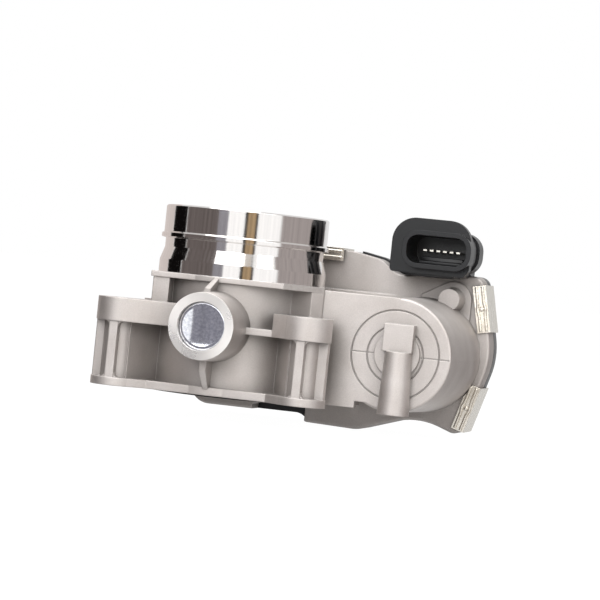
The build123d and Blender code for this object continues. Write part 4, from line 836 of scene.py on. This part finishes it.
# %% Panels round the table
PANEL_LOW, PANEL_HIGH, PANEL_RADIUS, PANEL_STEP_DEG = -1.6, 1.2, 1.7, 4
STREAK_SCALE = 110.0


def room_panel(name, start_deg, end_deg, colour_hex, strength, clutter):
    """A tall curved panel. Angles go to the picture's right from the direction of the camera."""
    mesh = bpy.data.meshes.new(name)
    panel = bpy.data.objects.new(name, mesh)
    bpy.context.scene.collection.objects.link(panel)
    panel.location = middle
    build = bmesh.new()
    steps = max(2, int(abs(end_deg - start_deg) / PANEL_STEP_DEG))
    lower, upper = [], []
    for step in range(steps + 1):
        angle = math.radians(start_deg + (end_deg - start_deg) * step / steps)
        right, near = PANEL_RADIUS * math.sin(angle), PANEL_RADIUS * math.cos(angle)
        lower.append(build.verts.new(studio_point(right, near, PANEL_LOW) - middle))
        upper.append(build.verts.new(studio_point(right, near, PANEL_HIGH) - middle))
    for step in range(steps):
        build.faces.new((lower[step], lower[step + 1], upper[step + 1], upper[step]))
    build.to_mesh(mesh)
    build.free()
    material, tree, output = start_material(name + "_paint")
    place = add_node(tree, "TexCoord").outputs["Object"]
    turn = add_node(tree, "TexGradient", links={"Vector": place}, gradient_type="RADIAL")
    streak = add_node(tree, "TexNoise", {"Scale": STREAK_SCALE, "Detail": 3.0},
                      {"W": turn.outputs["Fac"]}, noise_dimensions="1D")
    level = add_node(tree, "MapRange", {"From Min": 0.3, "From Max": 0.7,
                                        "To Min": strength * (1 - clutter),
                                        "To Max": strength * (1 + clutter)},
                     {"Value": streak.outputs["Fac"]})
    glow = add_node(tree, "Emission", {"Color": linear(colour_hex)},
                    {"Strength": level.outputs["Result"]})
    finish_material(tree, output, glow)
    mesh.materials.append(material)
    panel.visible_camera = False
    panel.visible_diffuse = False
    panel.visible_transmission = False
    panel.visible_shadow = False


# name, start and end in degrees, colour, strength, clutter
PANELS = [
    ("pale_wall_behind_left", -178, -123, "#DCD2CE", 1.0, 0.1),
    ("black_flag_left", -122, -92, "#0E0C0C", 1.0, 0.3),
    ("grey_wall_left", -91, -40, "#6E6664", 1.0, 0.25),
    ("pale_wall_left", -40, -26, "#97959C", 1.0, 0.15),
    ("window_left", -26, -3, "#FFFFFF", 1.2, 0.08),
    ("dark_post", -3, 1, "#3A3634", 1.0, 0.2),
    ("tan_room", 1, 12, "#B49A78", 1.0, 0.2),
    ("dark_post_right", 12, 15, "#4A4644", 1.0, 0.2),
    ("window_right", 15, 48, "#FFFFFF", 1.2, 0.08),
    ("grey_wall_right", 50, 116, "#ACA4A2", 1.0, 0.15),
    ("dim_wall_right", 116, 127, "#7C7674", 1.0, 0.2),
    ("black_flag_right", 127, 144, "#2E2B2B", 1.0, 0.3),
]
for wall in PANELS:
    room_panel(*wall)
print("panels:", len(PANELS))

# %% [markdown]
# ## The camera
# A long lens from almost a metre away keeps the two ends of the shaft nearly the same size. The
# camera stands level with the foot of the spigot, and is rolled a few degrees, so the part leans.

# %% Camera
DISTANCE, RISE = 0.971, 8.5 * MM
LENS_MM, SENSOR_MM = 156.0, 36.0
ROLL = math.radians(5.9)
camera_data = bpy.data.cameras.new("camera")
camera_data.lens = LENS_MM
camera_data.sensor_width = SENSOR_MM
camera = bpy.data.objects.new("camera", camera_data)
bpy.context.scene.collection.objects.link(camera)
camera.location = middle + toward_camera * DISTANCE + Vector((0, 0, RISE))
aim = (middle - camera.location).to_track_quat("-Z", "Y").to_matrix().to_4x4()
camera.matrix_world = Matrix.Translation(camera.location) @ aim @ Matrix.Rotation(ROLL, 4, "Z")
bpy.context.scene.camera = camera
bpy.context.scene.view_settings.view_transform = "Standard"
print("camera at mm:", [round(v / MM) for v in camera.location])
